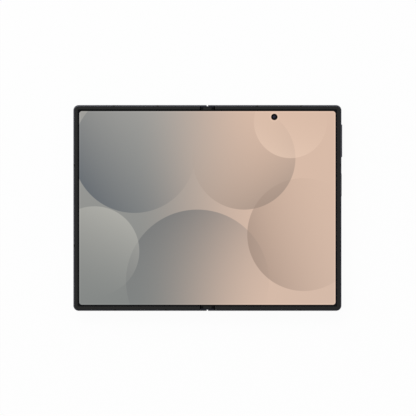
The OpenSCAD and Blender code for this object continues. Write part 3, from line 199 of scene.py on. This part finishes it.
ground = new_finish("white_ground")
seen, mirrored, refracted = (ground.node("ShaderNodeLightPath", {}, {}, kind)
                             for kind in ("Is Camera Ray", "Is Glossy Ray", "Is Transmission Ray"))
glowing = seen.larger(mirrored).larger(refracted) * glow_share
paper = ground.node("ShaderNodeBsdfDiffuse", {}, {"Color": paper_white})
glow = ground.node("ShaderNodeEmission", {}, {"Color": white, "Strength": 1.0})
sheet = ground.node("ShaderNodeMixShader", {}, {0: glowing, 1: paper, 2: glow})
ground.node("ShaderNodeOutputMaterial", {}, {"Surface": sheet})
floor_mesh.materials.append(ground.owner)


# Studio: white walls, brightest beyond the phone's top edge and at its left, under a dark ceiling
# that the glass mirrors. A large lamp stands beyond the top edge and a weak one at the lower right.
wall_stops = [(0.0, white), (0.55, (0.9, 0.9, 0.9, 1)), (0.97, (0.16, 0.16, 0.17, 1))]
back_gain, right_gain = 0.7, -0.5
wall_strength = 0.85
studio = bpy.data.worlds.new("studio")
scene.world = studio
walls = Finish(studio)
right, back, height = walls.axes("XYZ", walls.coordinates("Generated"))
ceiling = walls.node("ShaderNodeValToRGB", {"stops": wall_stops}, {0: height})
wall_light = walls.mix(1.0, ceiling, back * back_gain + right * right_gain + 1.0, "MULTIPLY")
shine = walls.node("ShaderNodeBackground", {}, {"Color": wall_light, "Strength": wall_strength})
walls.node("ShaderNodeOutputWorld", {}, {"Surface": shine})


def lamp(name, place, size, power):
    """A rectangular lamp that points at the phone."""
    data = bpy.data.lights.new(name, "AREA")
    data.shape, data.size, data.size_y, data.energy = "RECTANGLE", size[0], size[1], power
    made = bpy.data.objects.new(name, data)
    made.location = place
    made.rotation_euler = (-Vector(place)).to_track_quat("-Z", "Y").to_euler()
    scene.collection.objects.link(made)


lamp("key_lamp", place=(-0.45, 0.85, 0.8), size=(0.9, 0.4), power=7)
lamp("fill_lamp", place=(0.95, -0.5, 1.1), size=(0.6, 0.8), power=0.6)


# Band and middle plate of each half: milled from aluminium, blasted with fine beads and anodised
# dark grey. The slots for the keys, the tray and the sockets are cut after the blasting.
def tone(red, green, blue):
    """A colour given in display steps of 0 to 255, as the linear values that shaders take."""
    steps = [c / 255 for c in (red, green, blue)]
    return tuple(c / 12.92 if c < 0.04 else ((c + 0.055) / 1.055) ** 2.4 for c in steps) + (1,)


def scaled(colour, share):
    return tuple(share * c for c in colour[:3]) + (1,)


def paint(material, *names):
    for name in names:
        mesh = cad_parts[name].data
        mesh.materials.clear()
        mesh.materials.append(material)


def blasted_metal(name, colour, roughness=0.5, metallic=0.5, bead=0.12 * mm):
    """Anodised metal: its dyed oxide layer scatters light, so it mirrors less than bare metal."""
    made = new_finish(name)
    beads = made.noise(size=bead, detail=4)
    clouds = made.noise(size=14 * mm, detail=2)
    tint = made.mix(beads * 0.5 + clouds * 0.5, scaled(colour, 0.84), colour)
    return made.surface(base_color=tint, metallic=metallic, roughness=roughness + 0.1 * (clouds - 0.5),
                        specular_ior_level=0.25, normal=made.bump(beads, strength=0.35, depth=0.004 * mm))


band_metal = blasted_metal("band_metal", tone(64, 65, 73))
paint(band_metal, "left_frame", "right_frame")


# Antenna breaks: nylon moulded into slits in the band and machined with it, a shade darker and
# less shiny than the metal.
def moulded(name, colour, roughness, speck=0.25 * mm, metallic=0.0):
    """A piece out of a mould, with fine specks and broad worn areas."""
    made = new_finish(name)
    specks = made.noise(size=speck, detail=3)
    worn = made.noise(size=9 * mm, detail=2)
    return made.surface(base_color=made.mix(worn, scaled(colour, 0.85), colour), metallic=metallic,
                        specular_ior_level=0.2, roughness=roughness + 0.12 * (specks - 0.5),
                        normal=made.bump(specks, strength=0.3, depth=0.003 * mm))


break_nylon = moulded("break_nylon", tone(22, 22, 26), roughness=0.55)
paint(break_nylon, "left_antenna_breaks", "right_antenna_breaks")


# Soft frame: a thin ring of black elastomer bonded over the screen's edge on three sides of each
# half. It stands proud, so that the closed halves meet on it and not on the screen.
soft_frame = moulded("soft_frame", tone(39, 39, 38), roughness=0.62)
paint(soft_frame, "left_bezel", "right_bezel")


# Inner screen: one flexible panel under a plastic film. It is glued to a steel sheet on each half
# and hangs free across the hinge, where it bends into a drop as the phone closes.
screen_low, screen_high = (corner.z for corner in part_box("left_display"))
fold_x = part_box("right_display")[0].x
panel_x, panel_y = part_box("right_display")[1].xy
panel_r, corner_steps = 2.0 * mm, 8
camera_hole = Vector((40.3 * mm, 54.8 * mm, 0))
camera_hole_r, hole_steps = 1.97 * mm, 48
lit_x, lit_y, lit_r = 77.12 * mm, 58.26 * mm, 1.6 * mm
lit_blur = 0.12 * mm
panel_black, unlit_black = (0.004, 0.004, 0.005, 1), (0.0008, 0.0008, 0.0009, 1)


def keep_rest_places(mesh):
    """A UV map of each corner's place in the open phone, in metres, so that prints never slide."""
    places = mesh.uv_layers.new(name="rest_places")
    for loop in mesh.loops:
        places.data[loop.index].uv = mesh.vertices[loop.vertex_index].co.xy


def new_piece(name, mesh, material, body=None):
    made = bpy.data.objects.new(name, mesh)
    scene.collection.objects.link(made)
    mesh.materials.append(material)
    if body:
        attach(made, body)
    return made


def closed_mesh(name, bm):
    """The mesh of a finished shape, with its faces turned outwards."""
    bmesh.ops.recalc_face_normals(bm, faces=bm.faces)
    mesh = bpy.data.meshes.new(name)
    bm.to_mesh(mesh)
    bm.free()
    return mesh


def arc(centre, radius, start, end, steps):
    """Points of an arc in the XY plane, from start to end in degrees, both included."""
    angles = [math.radians(start + (end - start) * i / steps) for i in range(steps + 1)]
    return [(centre[0] + radius * math.cos(a), centre[1] + radius * math.sin(a)) for a in angles]


def plate(name, outline, low, high, holes=()):
    """A flat plate in the XY plane, from its outline and those of its holes."""
    bm = bmesh.new()
    rings = []
    for loop in (outline, *holes):
        verts = [bm.verts.new((x, y, low)) for x, y in loop]
        rings += [bm.edges.new((a, b)) for a, b in zip(verts, verts[1:] + verts[:1])]
    flat = bmesh.ops.triangle_fill(bm, edges=rings, use_beauty=True, use_dissolve=False)
    faces = [f for f in flat["geom"] if isinstance(f, bmesh.types.BMFace)]
    for face in faces:
        if face.normal.z > 0:
            face.normal_flip()
    raised = bmesh.ops.extrude_face_region(bm, geom=faces)
    tops = [v for v in raised["geom"] if isinstance(v, bmesh.types.BMVert)]
    bmesh.ops.translate(bm, vec=(0, 0, high - low), verts=tops)
    return closed_mesh(name, bm)


picture = new_finish("screen_picture")
place = picture.node("ShaderNodeUVMap", {"uv_map": "rest_places"}, {})
across, along = picture.axes("XY", place)


def past(distance, corner):
    """How far a place lies beyond that distance from the middle, either way."""
    return (distance.absolute() - corner).larger(0.0)


def from_middle(x, y):
    return (x * x + y * y) ** 0.5


outside = from_middle(past(across, lit_x - lit_r), past(along, lit_y - lit_r)).above(lit_r, lit_blur)
from_left = across / (2 * lit_x) + 0.5
from_low = along / (2 * lit_y) + 0.5
cool = picture.mix(from_low, tone(131, 134, 132), tone(158, 157, 153))
warm = picture.mix(from_low, tone(212, 185, 167), tone(216, 186, 166))
warm_from, fade_w = 0.48, 0.56
wall = picture.mix(from_left.above(warm_from, fade_w), cool, warm)

# Each disc of the picture: its middle and radius in mm, the way its shade deepens in degrees, the
# shade's colour and its strength
disc_blur = 0.35 * mm
discs = [
    ((-44, 34), 37, 215, tone(92, 99, 106), 0.85),
    ((-6, -44), 43, 120, tone(112, 114, 115), 0.75),
    ((22, 30), 31, 300, tone(164, 145, 132), 0.85),
    ((58, -16), 34, 200, tone(160, 138, 124), 0.75),
    ((-68, -26), 27, 60, tone(182, 181, 174), 0.7),
    ((50, 52), 22, 250, tone(234, 205, 184), 0.6),
]
for (x, y), radius, way, shade, strength in discs:
    dx, dy = across - x * mm, along - y * mm
    inside = 1 - from_middle(dx, dy).above(radius * mm, disc_blur)
    turn = math.radians(way)
    slope = (dx * math.cos(turn) + dy * math.sin(turn)) / (2 * radius * mm) + 0.5
    deep = slope.larger(0.0)
    wall = picture.mix(inside * deep * deep * strength, wall, shade)

# The film over the panel ends in a soft rounding, also round the camera's hole. Its shine is painted
# into the picture: the outermost rows, there and round the hole, are made a tenth brighter, a painted
# highlight
rim_w, rim_start, rim_blur, hole_blur = 0.85 * mm, 0.1 * mm, 0.2 * mm, 0.3 * mm
rim_highlight_gain = (1.1, 1.1, 1.1, 1)
painted_rim_highlight = past(across, lit_x - rim_w).larger(past(along, lit_y - rim_w)).above(rim_start, rim_blur)
from_hole = from_middle(across - camera_hole.x, along - camera_hole.y)
painted_rim_highlight = painted_rim_highlight.larger(1 - from_hole.above(camera_hole_r + rim_w, hole_blur))
wall = picture.mix(painted_rim_highlight, wall, rim_highlight_gain, "MULTIPLY")
film = picture.noise(size=0.09 * mm, detail=1, place=place)
screen_face = picture.surface(
    base_color=panel_black, roughness=0.13 + 0.02 * film, coat_weight=0.0, specular_ior_level=0.35,
    emission_color=picture.mix(outside, wall, unlit_black), emission_strength=1.0)


def half_outline(way):
    """Outline of a rigid panel: way is 1 for the camera half and -1 for the other."""
    corner_x, corner_y = panel_x - panel_r, panel_y - panel_r
    points = [(fold_x, -panel_y), *arc((corner_x, -corner_y), panel_r, -90, 0, corner_steps),
              *arc((corner_x, corner_y), panel_r, 0, 90, corner_steps), (fold_x, panel_y)]
    return [(way * x, y) for x, y in points]


hole = arc(camera_hole, camera_hole_r, 0, 360, hole_steps)[:-1]
for way, half, holes in ((-1, "left", ()), (1, "right", (hole,))):
    panel = plate("inner_screen_" + half, half_outline(way), screen_low, screen_high, holes)
    keep_rest_places(panel)
    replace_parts(new_piece("inner_screen_" + half, panel, screen_face, half + "_half"),
                        half + "_display")


# Bending part of the screen: the panel between the halves, thin enough to fold. It is shorter
# beside the end caps and full length further out, so it is made of cells in three rows.
fold_columns = 20
short_by, beside_frame = 2.9 * mm, 0.1 * mm
strip_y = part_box("spine_end_caps")[1].y - short_by
wide_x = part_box("right_bezel")[0].x + beside_frame
with_half_x, with_spine_x = 4.5 * mm, 0.6 * mm
columns = sorted({*(fold_x * i / fold_columns for i in range(fold_columns + 1)), wide_x})
lines = [-panel_y, -strip_y, strip_y, panel_y]
middle_row = 1
cells = [(i, j) for i in range(len(columns) - 1) for j in range(len(lines) - 1)
         if j == middle_row or columns[i] >= wide_x]
for way, half in ((-1, "left"), (1, "right")):
    bm = bmesh.new()
    corners = {}
    for i, j in cells:
        a, b, c, d = (i, j), (i + 1, j), (i + 1, j + 1), (i, j + 1)
        quads = [[(k, screen_low) for k in (a, b, c, d)], [(k, screen_high) for k in (d, c, b, a)]]
        sides = [((i - 1, j), d, a), ((i + 1, j), b, c), ((i, j - 1), a, b), ((i, j + 1), c, d)]
        for beside, p, q in sides:
            if beside not in cells:
                quads.append([(p, screen_low), (q, screen_low), (q, screen_high), (p, screen_high)])
        for quad in quads:
            for (column, line), z in quad:
                if (column, line, z) not in corners:
                    corners[column, line, z] = bm.verts.new((way * columns[column], lines[line], z))
            bm.faces.new([corners[column, line, z] for (column, line), z in quad])
    strip = closed_mesh("screen_fold_" + half, bm)
    keep_rest_places(strip)
    made = new_piece("screen_fold_" + half, strip, screen_face)
    half + "_half"
    way * with_half_x
    way * with_spine_x
    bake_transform(made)
    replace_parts(made, "display_fold_strip")


# Inner camera: a moulded barrel fixed behind the hole in the screen. Only its black mask and the
# dark coated lens in the middle are seen.
def in_mm(profile):
    return [(radius * mm, height * mm) for radius, height in profile]


def lathe(name, profile, centre, axis="Z", steps=48, smooth=True, ring=False):
    """A turned piece. A profile lists radius and height along the axis, and a ring's one closes."""
    bm = bmesh.new()
    turns = {"Z": lambda r, h, a: (r * math.cos(a), r * math.sin(a), h),
             "Y": lambda r, h, a: (r * math.cos(a), h, r * math.sin(a))}[axis]
    rows = []
    for radius, height in profile:
        angles = [2 * math.pi * i / steps for i in range(steps if radius else 1)]
        rows.append([bm.verts.new(Vector(turns(radius, height, a)) + Vector(centre)) for a in angles])
    for inner, outer in zip(rows, rows[1:] + rows[:1] if ring else rows[1:]):
        for i in range(steps):
            j = (i + 1) % steps
            corners = [inner[i % len(inner)], outer[i % len(outer)],
                       outer[j % len(outer)], inner[j % len(inner)]]
            bm.faces.new(list(dict.fromkeys(corners)))
    mesh = closed_mesh(name, bm)
    for face in mesh.polygons:
        face.use_smooth = smooth
    return mesh


def coated_lens(name, face_on, edge_on, pupil=0.24):
    """Dark glass round a black pupil. Its thin coating shifts in colour towards grazing views."""
    made = new_finish(name)
    grazing = made.node("ShaderNodeLayerWeight", {}, {"Blend": 0.35}, "Facing")
    dust = made.noise(size=0.3 * mm, detail=3)
    x, y = (place - 0.5 for place in made.axes("XY", made.coordinates("Generated")))
    iris = from_middle(x, y).above(pupil, blur=0.03)
    coating = made.mix(grazing, face_on, edge_on)
    return made.surface(base_color=made.mix(iris, tone(3, 3, 4), coating),
                        roughness=0.04 + 0.03 * dust, specular_ior_level=0.4)


mask = new_finish("mask_black")
mask_tone = tone(13, 13, 15)
haze = mask.noise(size=20 * mm, detail=2)
mask_specks = mask.noise(size=0.4 * mm, detail=2)
mask_black = mask.surface(
    base_color=mask.mix(haze, scaled(mask_tone, 0.85), mask_tone),
    roughness=0.12 + 0.03 * mask_specks, normal=mask.bump(haze, strength=0.1, depth=0.002 * mm))
paint(mask_black, "inner_camera")

lens_blue = coated_lens("lens_blue", tone(44, 48, 70), tone(60, 40, 80), pupil=0.1)
camera_top = Vector((0, 0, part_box("inner_camera")[1].z))
eye_profile = in_mm([(0, 0.09), (0.3, 0.075), (0.6, 0.03), (0.72, 0.0), (0.72, -0.1), (0, -0.1)])
eye = lathe("inner_camera_lens", eye_profile, camera_hole + camera_top)
new_piece("inner_camera_lens", eye, lens_blue, "right_half")


# Hinge cover and its end caps: a drawn strip of anodised aluminium with moulded plugs. A grey bar
# shows in the middle of each plug, and its outer rim is painted lighter and bluish, a painted highlight
# like the band's lit rounded edge.
def brushed_metal(name, colour, roughness, lines):
    """Metal with fine parallel grain, which runs along the axis whose number of lines is least."""
    made = new_finish(name)
    grain = made.grain(*lines)
    clouds = made.noise(size=11 * mm, detail=2)
    tint = made.mix(grain * 0.6 + clouds * 0.4, scaled(colour, 0.82), colour)
    return made.surface(base_color=tint, metallic=0.95, roughness=roughness + 0.12 * (grain - 0.5),
                        normal=made.bump(grain, strength=0.3, depth=0.002 * mm))


spine_metal = brushed_metal("spine_metal", tone(70, 71, 76), roughness=0.26, lines=(900, 60, 900))
paint(spine_metal, "spine_cover")

bar_half, bar_start, bar_end = 2.5 * mm, 59.2 * mm, 60.55 * mm
highlight_rim_from, cap_blur = 60.75 * mm, 0.06 * mm
caps = new_finish("cap_plastic")
cap_x, cap_y = (place.absolute() for place in caps.axes("XY"))
bar = (1 - cap_x.above(bar_half, cap_blur)) * cap_y.above(bar_start, cap_blur)
bar = bar * (1 - cap_y.above(bar_end, cap_blur))
cap_tint = caps.mix(bar, tone(9, 9, 11), tone(38, 38, 37))
# Painted highlight: the plugs' outer rim is painted lighter and bluish, as the band's rounded edge looks
# where it catches the light
cap_tint = caps.mix(cap_y.above(highlight_rim_from, cap_blur), cap_tint, tone(44, 45, 54))
cap_specks = caps.noise(size=0.2 * mm, detail=3)
cap_plastic = caps.surface(
    base_color=cap_tint, specular_ior_level=0.15, roughness=0.5 + 0.15 * (cap_specks - 0.5),
    normal=caps.bump(cap_specks, strength=0.3, depth=0.003 * mm))
paint(cap_plastic, "spine_end_caps")


# Keys: aluminium bars with a diamond-cut edge, brighter than the band. The volume key's much lighter
# colour than the power key's is a painted highlight for the light on its rounded edge. Each stands on
# a sheet metal dome and is held by a flange behind its slot.
for key, colour in (("volume_key", tone(132, 132, 143)), ("power_key", tone(70, 70, 77))):
    paint(blasted_metal(key + "_metal", colour, roughness=0.42, bead=0.1 * mm), key)


# Cover glass: black glass over the outer display of the left half. The display's camera looks
# through a clear spot in it, ringed by a black mask.
clear_r, mask_r, spot_blur = 1.05 * mm, 1.9 * mm, 0.08 * mm
spot = (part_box("cover_camera")[0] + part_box("cover_camera")[1]) / 2
cover = new_finish("cover_glass_black")
cover_x, cover_y = cover.axes("XY")
from_spot = from_middle(cover_x - spot.x, cover_y - spot.y)
cover_tint = cover.mix(from_spot.above(mask_r, spot_blur), tone(30, 31, 36), tone(11, 11, 13))
cover_tint = cover.mix(from_spot.above(clear_r, spot_blur), tone(16, 20, 34), cover_tint)
smear = cover.noise(size=26 * mm, detail=3)
cover_black = cover.surface(
    base_color=cover_tint, roughness=0.06 + 0.05 * smear, specular_ior_level=0.6,
    normal=cover.bump(smear, strength=0.08, depth=0.004 * mm))
paint(cover_black, "cover_glass")
paint(mask_black, "cover_display", "cover_camera")


# Back glass: etched with acid until it feels like fine paper, over a dark grey film. It is glued
# to the back lip of the camera half.
etched = new_finish("etched_back")
frost = etched.noise(size=0.07 * mm, detail=3)
etched_grey = etched.mix(etched.noise(size=30 * mm, detail=2), tone(50, 51, 55), tone(57, 58, 62))
etched_back = etched.surface(
    base_color=etched_grey, roughness=0.4 + 0.08 * (frost - 0.5), specular_ior_level=0.55,
    normal=etched.bump(frost, strength=0.25, depth=0.002 * mm))
paint(etched_back, "back_glass")


# Camera island: a slab of the same anodised aluminium, with three polished rings pressed into it
# and a warm white flash behind a moulded lens.
island_metal = blasted_metal("island_metal", tone(66, 67, 71), roughness=0.42, metallic=0.7,
                             bead=0.1 * mm)
ring_metal = brushed_metal("ring_metal", tone(128, 129, 134), roughness=0.2, lines=(700, 700, 90))
paint(island_metal, "camera_island")
paint(ring_metal, "lens_rings")

ridge_pitch, ridge_depth = 0.35 * mm, 0.03 * mm
phosphor_r, phosphor_blur = 1.1 * mm, 0.3 * mm
flash_middle = (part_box("flash_lens")[0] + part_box("flash_lens")[1]) / 2
flash = new_finish("flash_diffuser")
flash_x, flash_y = flash.axes("XY")
from_lamp = from_middle(flash_x - flash_middle.x, flash_y - flash_middle.y)
ridges = (from_lamp * (2 * math.pi / ridge_pitch)).sine()
phosphor = flash.mix(from_lamp.above(phosphor_r, phosphor_blur), tone(236, 214, 120), tone(226, 222, 210))
flash_diffuser = flash.surface(
    base_color=phosphor, roughness=0.25 + 0.05 * ridges, coat_weight=0.5,
    normal=flash.bump(ridges, strength=0.5, depth=ridge_depth))
paint(flash_diffuser, "flash_lens")


# Camera lenses: each sits under a flat glass window inside its ring. A black mask, a stepped
# barrel and the coated front element show through.
barrel_black = moulded("barrel_black", tone(14, 14, 16), roughness=0.38, speck=0.08 * mm)
lens_violet = coated_lens("lens_violet", tone(12, 14, 26), tone(64, 34, 84))
lens_green = coated_lens("lens_green", tone(10, 18, 20), tone(28, 70, 66))
ring_low, ring_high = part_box("lens_rings")
ring_outer = (ring_high.x - ring_low.x) / 2
ring_x, ring_y = (ring_low.x + ring_high.x) / 2, (ring_low.y + ring_high.y) / 2
window_low, window_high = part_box("lens_glasses")
window_mm = (window_high.x - window_low.x) / 2 / mm

# Each camera's place along the island, the radius in mm of its front element, and its glass
cameras = [(ring_low.y + ring_outer, 2.3, lens_violet), (ring_y, 3.0, lens_green),
           (ring_high.y - ring_outer, 2.6, lens_violet)]
windows = []
for number, (row_y, front, glass) in enumerate(cameras):
    # Profiles in mm over the window's underside: the stepped barrel and the domed front element
    steps = [(window_mm, 0.9), (window_mm, 0.0), (window_mm - 0.25, 0.0), (front + 1.1, 0.0),
             (front + 1.0, 0.1), (front + 0.7, 0.1), (front + 0.65, 0.32), (front + 0.3, 0.32),
             (front + 0.22, 0.62), (front - 0.05, 0.62), (front - 0.05, 0.9)]
    dome = [(front * t, 0.62 - 0.3 * math.cos(t * math.pi / 2)) for t in (0, 0.2, 0.4, 0.6, 0.8, 1.0)]
    dome += [(front, 0.8), (0, 0.8)]
    for kind, profile, material in (("barrel", steps, barrel_black), ("element", dome, glass)):
        name = "camera_%s_%d" % (kind, number + 1)
        mesh = lathe(name, in_mm(profile), (ring_x, row_y, window_low.z),
                     smooth=kind == "element", ring=kind == "barrel")
        windows.append(new_piece(name, mesh, material, "right_half"))
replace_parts(windows[0], "lens_glasses")
paint(barrel_black, "camera_modules")


# Charging socket: a drawn steel shell round a black tongue. Gold-plated contacts lie on both faces
# of the tongue, twelve on each.
tongue_half_w, tongue_half_t, socket_blur = 3.4 * mm, 0.38 * mm, 0.02 * mm
socket_low, socket_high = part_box("usb_socket")
socket_x, socket_z = (socket_low.x + socket_high.x) / 2, (socket_low.z + socket_high.z) / 2
socket = new_finish("socket_shell")
shell_x, shell_z = socket.axes("XZ")
beside = (shell_x - socket_x).absolute().above(tongue_half_w, socket_blur)
over = (shell_z - socket_z).absolute().above(tongue_half_t, socket_blur)
shell_share = beside.larger(over)
scratches = socket.grain(2500, 120, 2500)
socket_shell = socket.surface(
    base_color=socket.mix(shell_share, tone(20, 20, 22), tone(168, 169, 172)),
    metallic=shell_share * 0.95, roughness=0.3 + 0.15 * scratches,
    normal=socket.bump(scratches, strength=0.2, depth=0.002 * mm))
paint(socket_shell, "usb_socket")

contact_gold = brushed_metal("contact_gold", tone(214, 178, 106), roughness=0.25, lines=(3000, 300, 3000))
contact_count, contact_pitch, contact_y = 12, 0.5 * mm, 2.9 * mm
contact_w, contact_l, contact_t = 0.26 * mm, 3.6 * mm, 0.03 * mm
contact_sunk, contact_edge = 0.03 * mm, 0.008 * mm
bm = bmesh.new()
for face in (-1, 1):
    for number in range(contact_count):
        middle = (socket_x + (number - (contact_count - 1) / 2) * contact_pitch, socket_low.y + contact_y,
                  socket_z + face * (tongue_half_t - contact_sunk + contact_t / 2))
        made = bmesh.ops.create_cube(bm, size=1.0)["verts"]
        bmesh.ops.scale(bm, vec=(contact_w, contact_l, contact_t), verts=made)
        bmesh.ops.translate(bm, vec=middle, verts=made)
bmesh.ops.bevel(bm, geom=bm.edges, offset=contact_edge, segments=1, affect="EDGES")
new_piece("socket_contacts", closed_mesh("socket_contacts", bm), contact_gold, "right_half")


# Acoustic gauze: woven steel mesh glued behind the loudspeaker's holes and in the earpiece slot,
# which keeps dust out.
weave_pitch, weave_depth = 0.16 * mm, 0.02 * mm
gauze_half_t = 0.02 * mm
gauze = new_finish("steel_gauze")
warp, weft = ((place * (2 * math.pi / weave_pitch)).sine() for place in gauze.axes("XZ"))
weave = warp + weft
steel_gauze = gauze.surface(
    base_color=gauze.mix(weave.above(level=0.0, blur=1.2), tone(8, 8, 9), tone(70, 71, 74)), metallic=0.7,
    roughness=0.5, normal=gauze.bump(weave, strength=0.6, depth=weave_depth))

speaker_low, speaker_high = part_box("bottom_speaker")
body_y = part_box("right_frame")[1].y
hole_count, hole_pitch, hole_r, hole_depth = 6, 2.2 * mm, 0.54 * mm, 0.75 * mm
disc_profile = [(0, gauze_half_t), (hole_r, gauze_half_t), (hole_r, -gauze_half_t), (0, -gauze_half_t)]
for number in range(hole_count):
    hole_x = (speaker_low.x + speaker_high.x) / 2 + (number - (hole_count - 1) / 2) * hole_pitch
    name = "speaker_gauze_%d" % (number + 1)
    middle = (hole_x, hole_depth - body_y, socket_z)
    disc = lathe(name, disc_profile, middle, axis="Y", steps=24, smooth=False)
    new_piece(name, disc, steel_gauze, "right_half")

ear_low, ear_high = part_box("earpiece")
slot_w, slot_h, slot_steps = 11.0 * mm, 0.7 * mm, 10
slot_depth, slot_rise = 0.5 * mm, 1.9 * mm
slot_x, slot_z = (ear_low.x + ear_high.x) / 2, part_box("back_glass")[0].z + slot_rise
run = slot_w / 2 - slot_h / 2
slot_outline = [*arc((run, 0), slot_h / 2, -90, 90, slot_steps),
                *arc((-run, 0), slot_h / 2, 90, 270, slot_steps)]
slot_gauze = plate("earpiece_gauze", slot_outline, -gauze_half_t, gauze_half_t)
for vertex in slot_gauze.vertices:
    x, y, z = vertex.co
    vertex.co = (slot_x + x, body_y - slot_depth - z, slot_z + y)
new_piece("earpiece_gauze", slot_gauze, steel_gauze, "left_half")


# Card tray: anodised like the band, its cover matched to the band's curve. The carrier behind the
# cover holds the card and slides in a stamped steel cage.
paint(band_metal, "sim_tray")
stamped_steel = brushed_metal("stamped_steel", tone(150, 151, 154), roughness=0.32, lines=(60, 700, 700))
paint(stamped_steel, "sim_socket")


# Sheet steel inside: the cans over the main board, the motor's case, and the plates under the
# screen. All are stamped from thin strip, like the card's cage.
paint(stamped_steel, "shield_cans", "vibration_motor", "left_support_sheet", "right_support_sheet",
      "left_wing_plate", "right_wing_plate")


# Hinge mechanism: sintered steel blocks, brackets and arms, ground where they slide, with cut
# gears on polished shafts. Springs press the cams together, so that the phone stays half open.
sintered_steel = moulded("sintered_steel", tone(122, 121, 119), roughness=0.36, speck=0.09 * mm,
                         metallic=0.9)
paint(sintered_steel, "hinge_blocks", "left_hinge_brackets", "right_hinge_brackets", "left_sync_arms",
      "right_sync_arms", "left_idler_gears", "right_idler_gears", "cam_bridges")
ground_steel = brushed_metal("ground_steel", tone(176, 177, 180), roughness=0.14, lines=(2500, 60, 2500))
spring_steel = brushed_metal("spring_steel", tone(96, 96, 100), roughness=0.22, lines=(2500, 2500, 2500))
screw_steel = brushed_metal("screw_steel", tone(140, 141, 144), roughness=0.26, lines=(1500, 1500, 300))
paint(ground_steel, "hinge_shafts")
paint(spring_steel, "hinge_springs")
paint(screw_steel, "left_screws", "right_screws")


# Flexible circuits: copper tracks between orange polyimide films. They cross the hinge in a slack
# bend and end on each half's board.
track_pitch, track_depth = 0.5 * mm, 0.01 * mm
flex_film = new_finish("polyimide")
flex_place = flex_film.node("ShaderNodeUVMap", {"uv_map": "rest_places"}, {})
across_tracks = flex_film.axes("Y", flex_place)[0]
tracks = (across_tracks * (2 * math.pi / track_pitch)).sine()
polyimide = flex_film.surface(
    base_color=flex_film.mix(tracks.above(level=-0.1, blur=0.5), tone(150, 82, 26), tone(196, 112, 46)),
    roughness=0.3, coat_weight=0.3, normal=flex_film.bump(tracks, strength=0.3, depth=track_depth))

flex_low, flex_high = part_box("hinge_flexes")
flex_w, flex_t = 9.0 * mm, 0.1 * mm
flex_y = flex_high.y - flex_w / 2
flex_half_x, flex_spine_x = 6.5 * mm, 1.5 * mm
flat_x, risen_x, bend_steps = 1.9 * mm, 3.3 * mm, 6
flex_top = flex_high.z - flex_t
bend = [(0.0, flex_low.z), (flat_x, flex_low.z), (risen_x, flex_top), (flex_high.x, flex_top)]
rows = [(x0 + (x1 - x0) * i / bend_steps, z0 + (z1 - z0) * i / bend_steps)
        for (x0, z0), (x1, z1) in zip(bend, bend[1:]) for i in range(bend_steps)] + [bend[-1]]
section = [(-flex_w / 2, 0), (flex_w / 2, 0), (flex_w / 2, flex_t), (-flex_w / 2, flex_t)]
for way, half in ((-1, "left"), (1, "right")):
    for row_y, row_name in ((flex_y, "upper"), (-flex_y, "lower")):
        bm = bmesh.new()
        loops = [[bm.verts.new((way * x, row_y + dy, z + dz)) for dy, dz in section] for x, z in rows]
        for a, b in zip(loops, loops[1:]):
            for i in range(4):
                bm.faces.new((a[i], b[i], b[(i + 1) % 4], a[(i + 1) % 4]))
        bm.faces.new(loops[0])
        bm.faces.new(loops[-1][::-1])
        mesh = closed_mesh("flex_%s_%s" % (half, row_name), bm)
        keep_rest_places(mesh)
        made = new_piece(mesh.name, mesh, polyimide)
        half + "_half"
        way * flex_half_x
        way * flex_spine_x
        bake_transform(made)
        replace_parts(made, "hinge_flexes")


# Batteries: pouches of laminated dark foil, one in each half. Each lies in the well of its frame
# and carries no print.
foil = new_finish("battery_foil")
creases = foil.noise(size=2.5 * mm, detail=4)
foil_grey = foil.mix(foil.noise(size=18 * mm, detail=2), tone(44, 45, 48), tone(60, 61, 64))
battery_foil = foil.surface(
    base_color=foil_grey, metallic=0.5, roughness=0.38 + 0.15 * (creases - 0.5),
    normal=foil.bump(creases, strength=0.4, depth=0.05 * mm))
paint(battery_foil, "left_battery", "right_battery")


# Circuit boards: glass-fibre laminate under dark green solder mask, with tracks that show as
# slightly raised lines. The sound pieces beside them have black plastic cases.
cell_size, line_depth = 1.6 * mm, 0.03 * mm
solder_green = tone(16, 54, 36)
solder = new_finish("solder_mask")
pattern = {"Vector": solder.coordinates(), "Scale": 1 / cell_size}
from_cell = solder.node("ShaderNodeTexVoronoi", {"distance": "MANHATTAN"}, pattern)
raised = from_cell.above(level=0.42, blur=0.12)
solder_mask = solder.surface(
    base_color=solder.mix(raised, solder_green, scaled(solder_green, 1.9)), coat_weight=0.3,
    roughness=0.35 + 0.1 * raised, normal=solder.bump(raised, strength=0.3, depth=line_depth))
paint(solder_mask, "left_board", "main_board", "usb_board")
module_plastic = moulded("module_plastic", tone(26, 26, 28), roughness=0.45)
paint(module_plastic, "earpiece", "bottom_speaker")


# Charging coil of flat copper wire, the keys' flexible circuit with its domes, and magnets that
# hold the halves shut. The magnets are plated with nickel against rust.
coil_copper = brushed_metal("coil_copper", tone(190, 112, 68), roughness=0.3, lines=(900, 900, 900))
nickel_plate = brushed_metal("nickel_plate", tone(170, 168, 162), roughness=0.18, lines=(500, 500, 500))
paint(coil_copper, "charging_coil", "key_switches")
paint(nickel_plate, "left_magnets", "right_magnets")
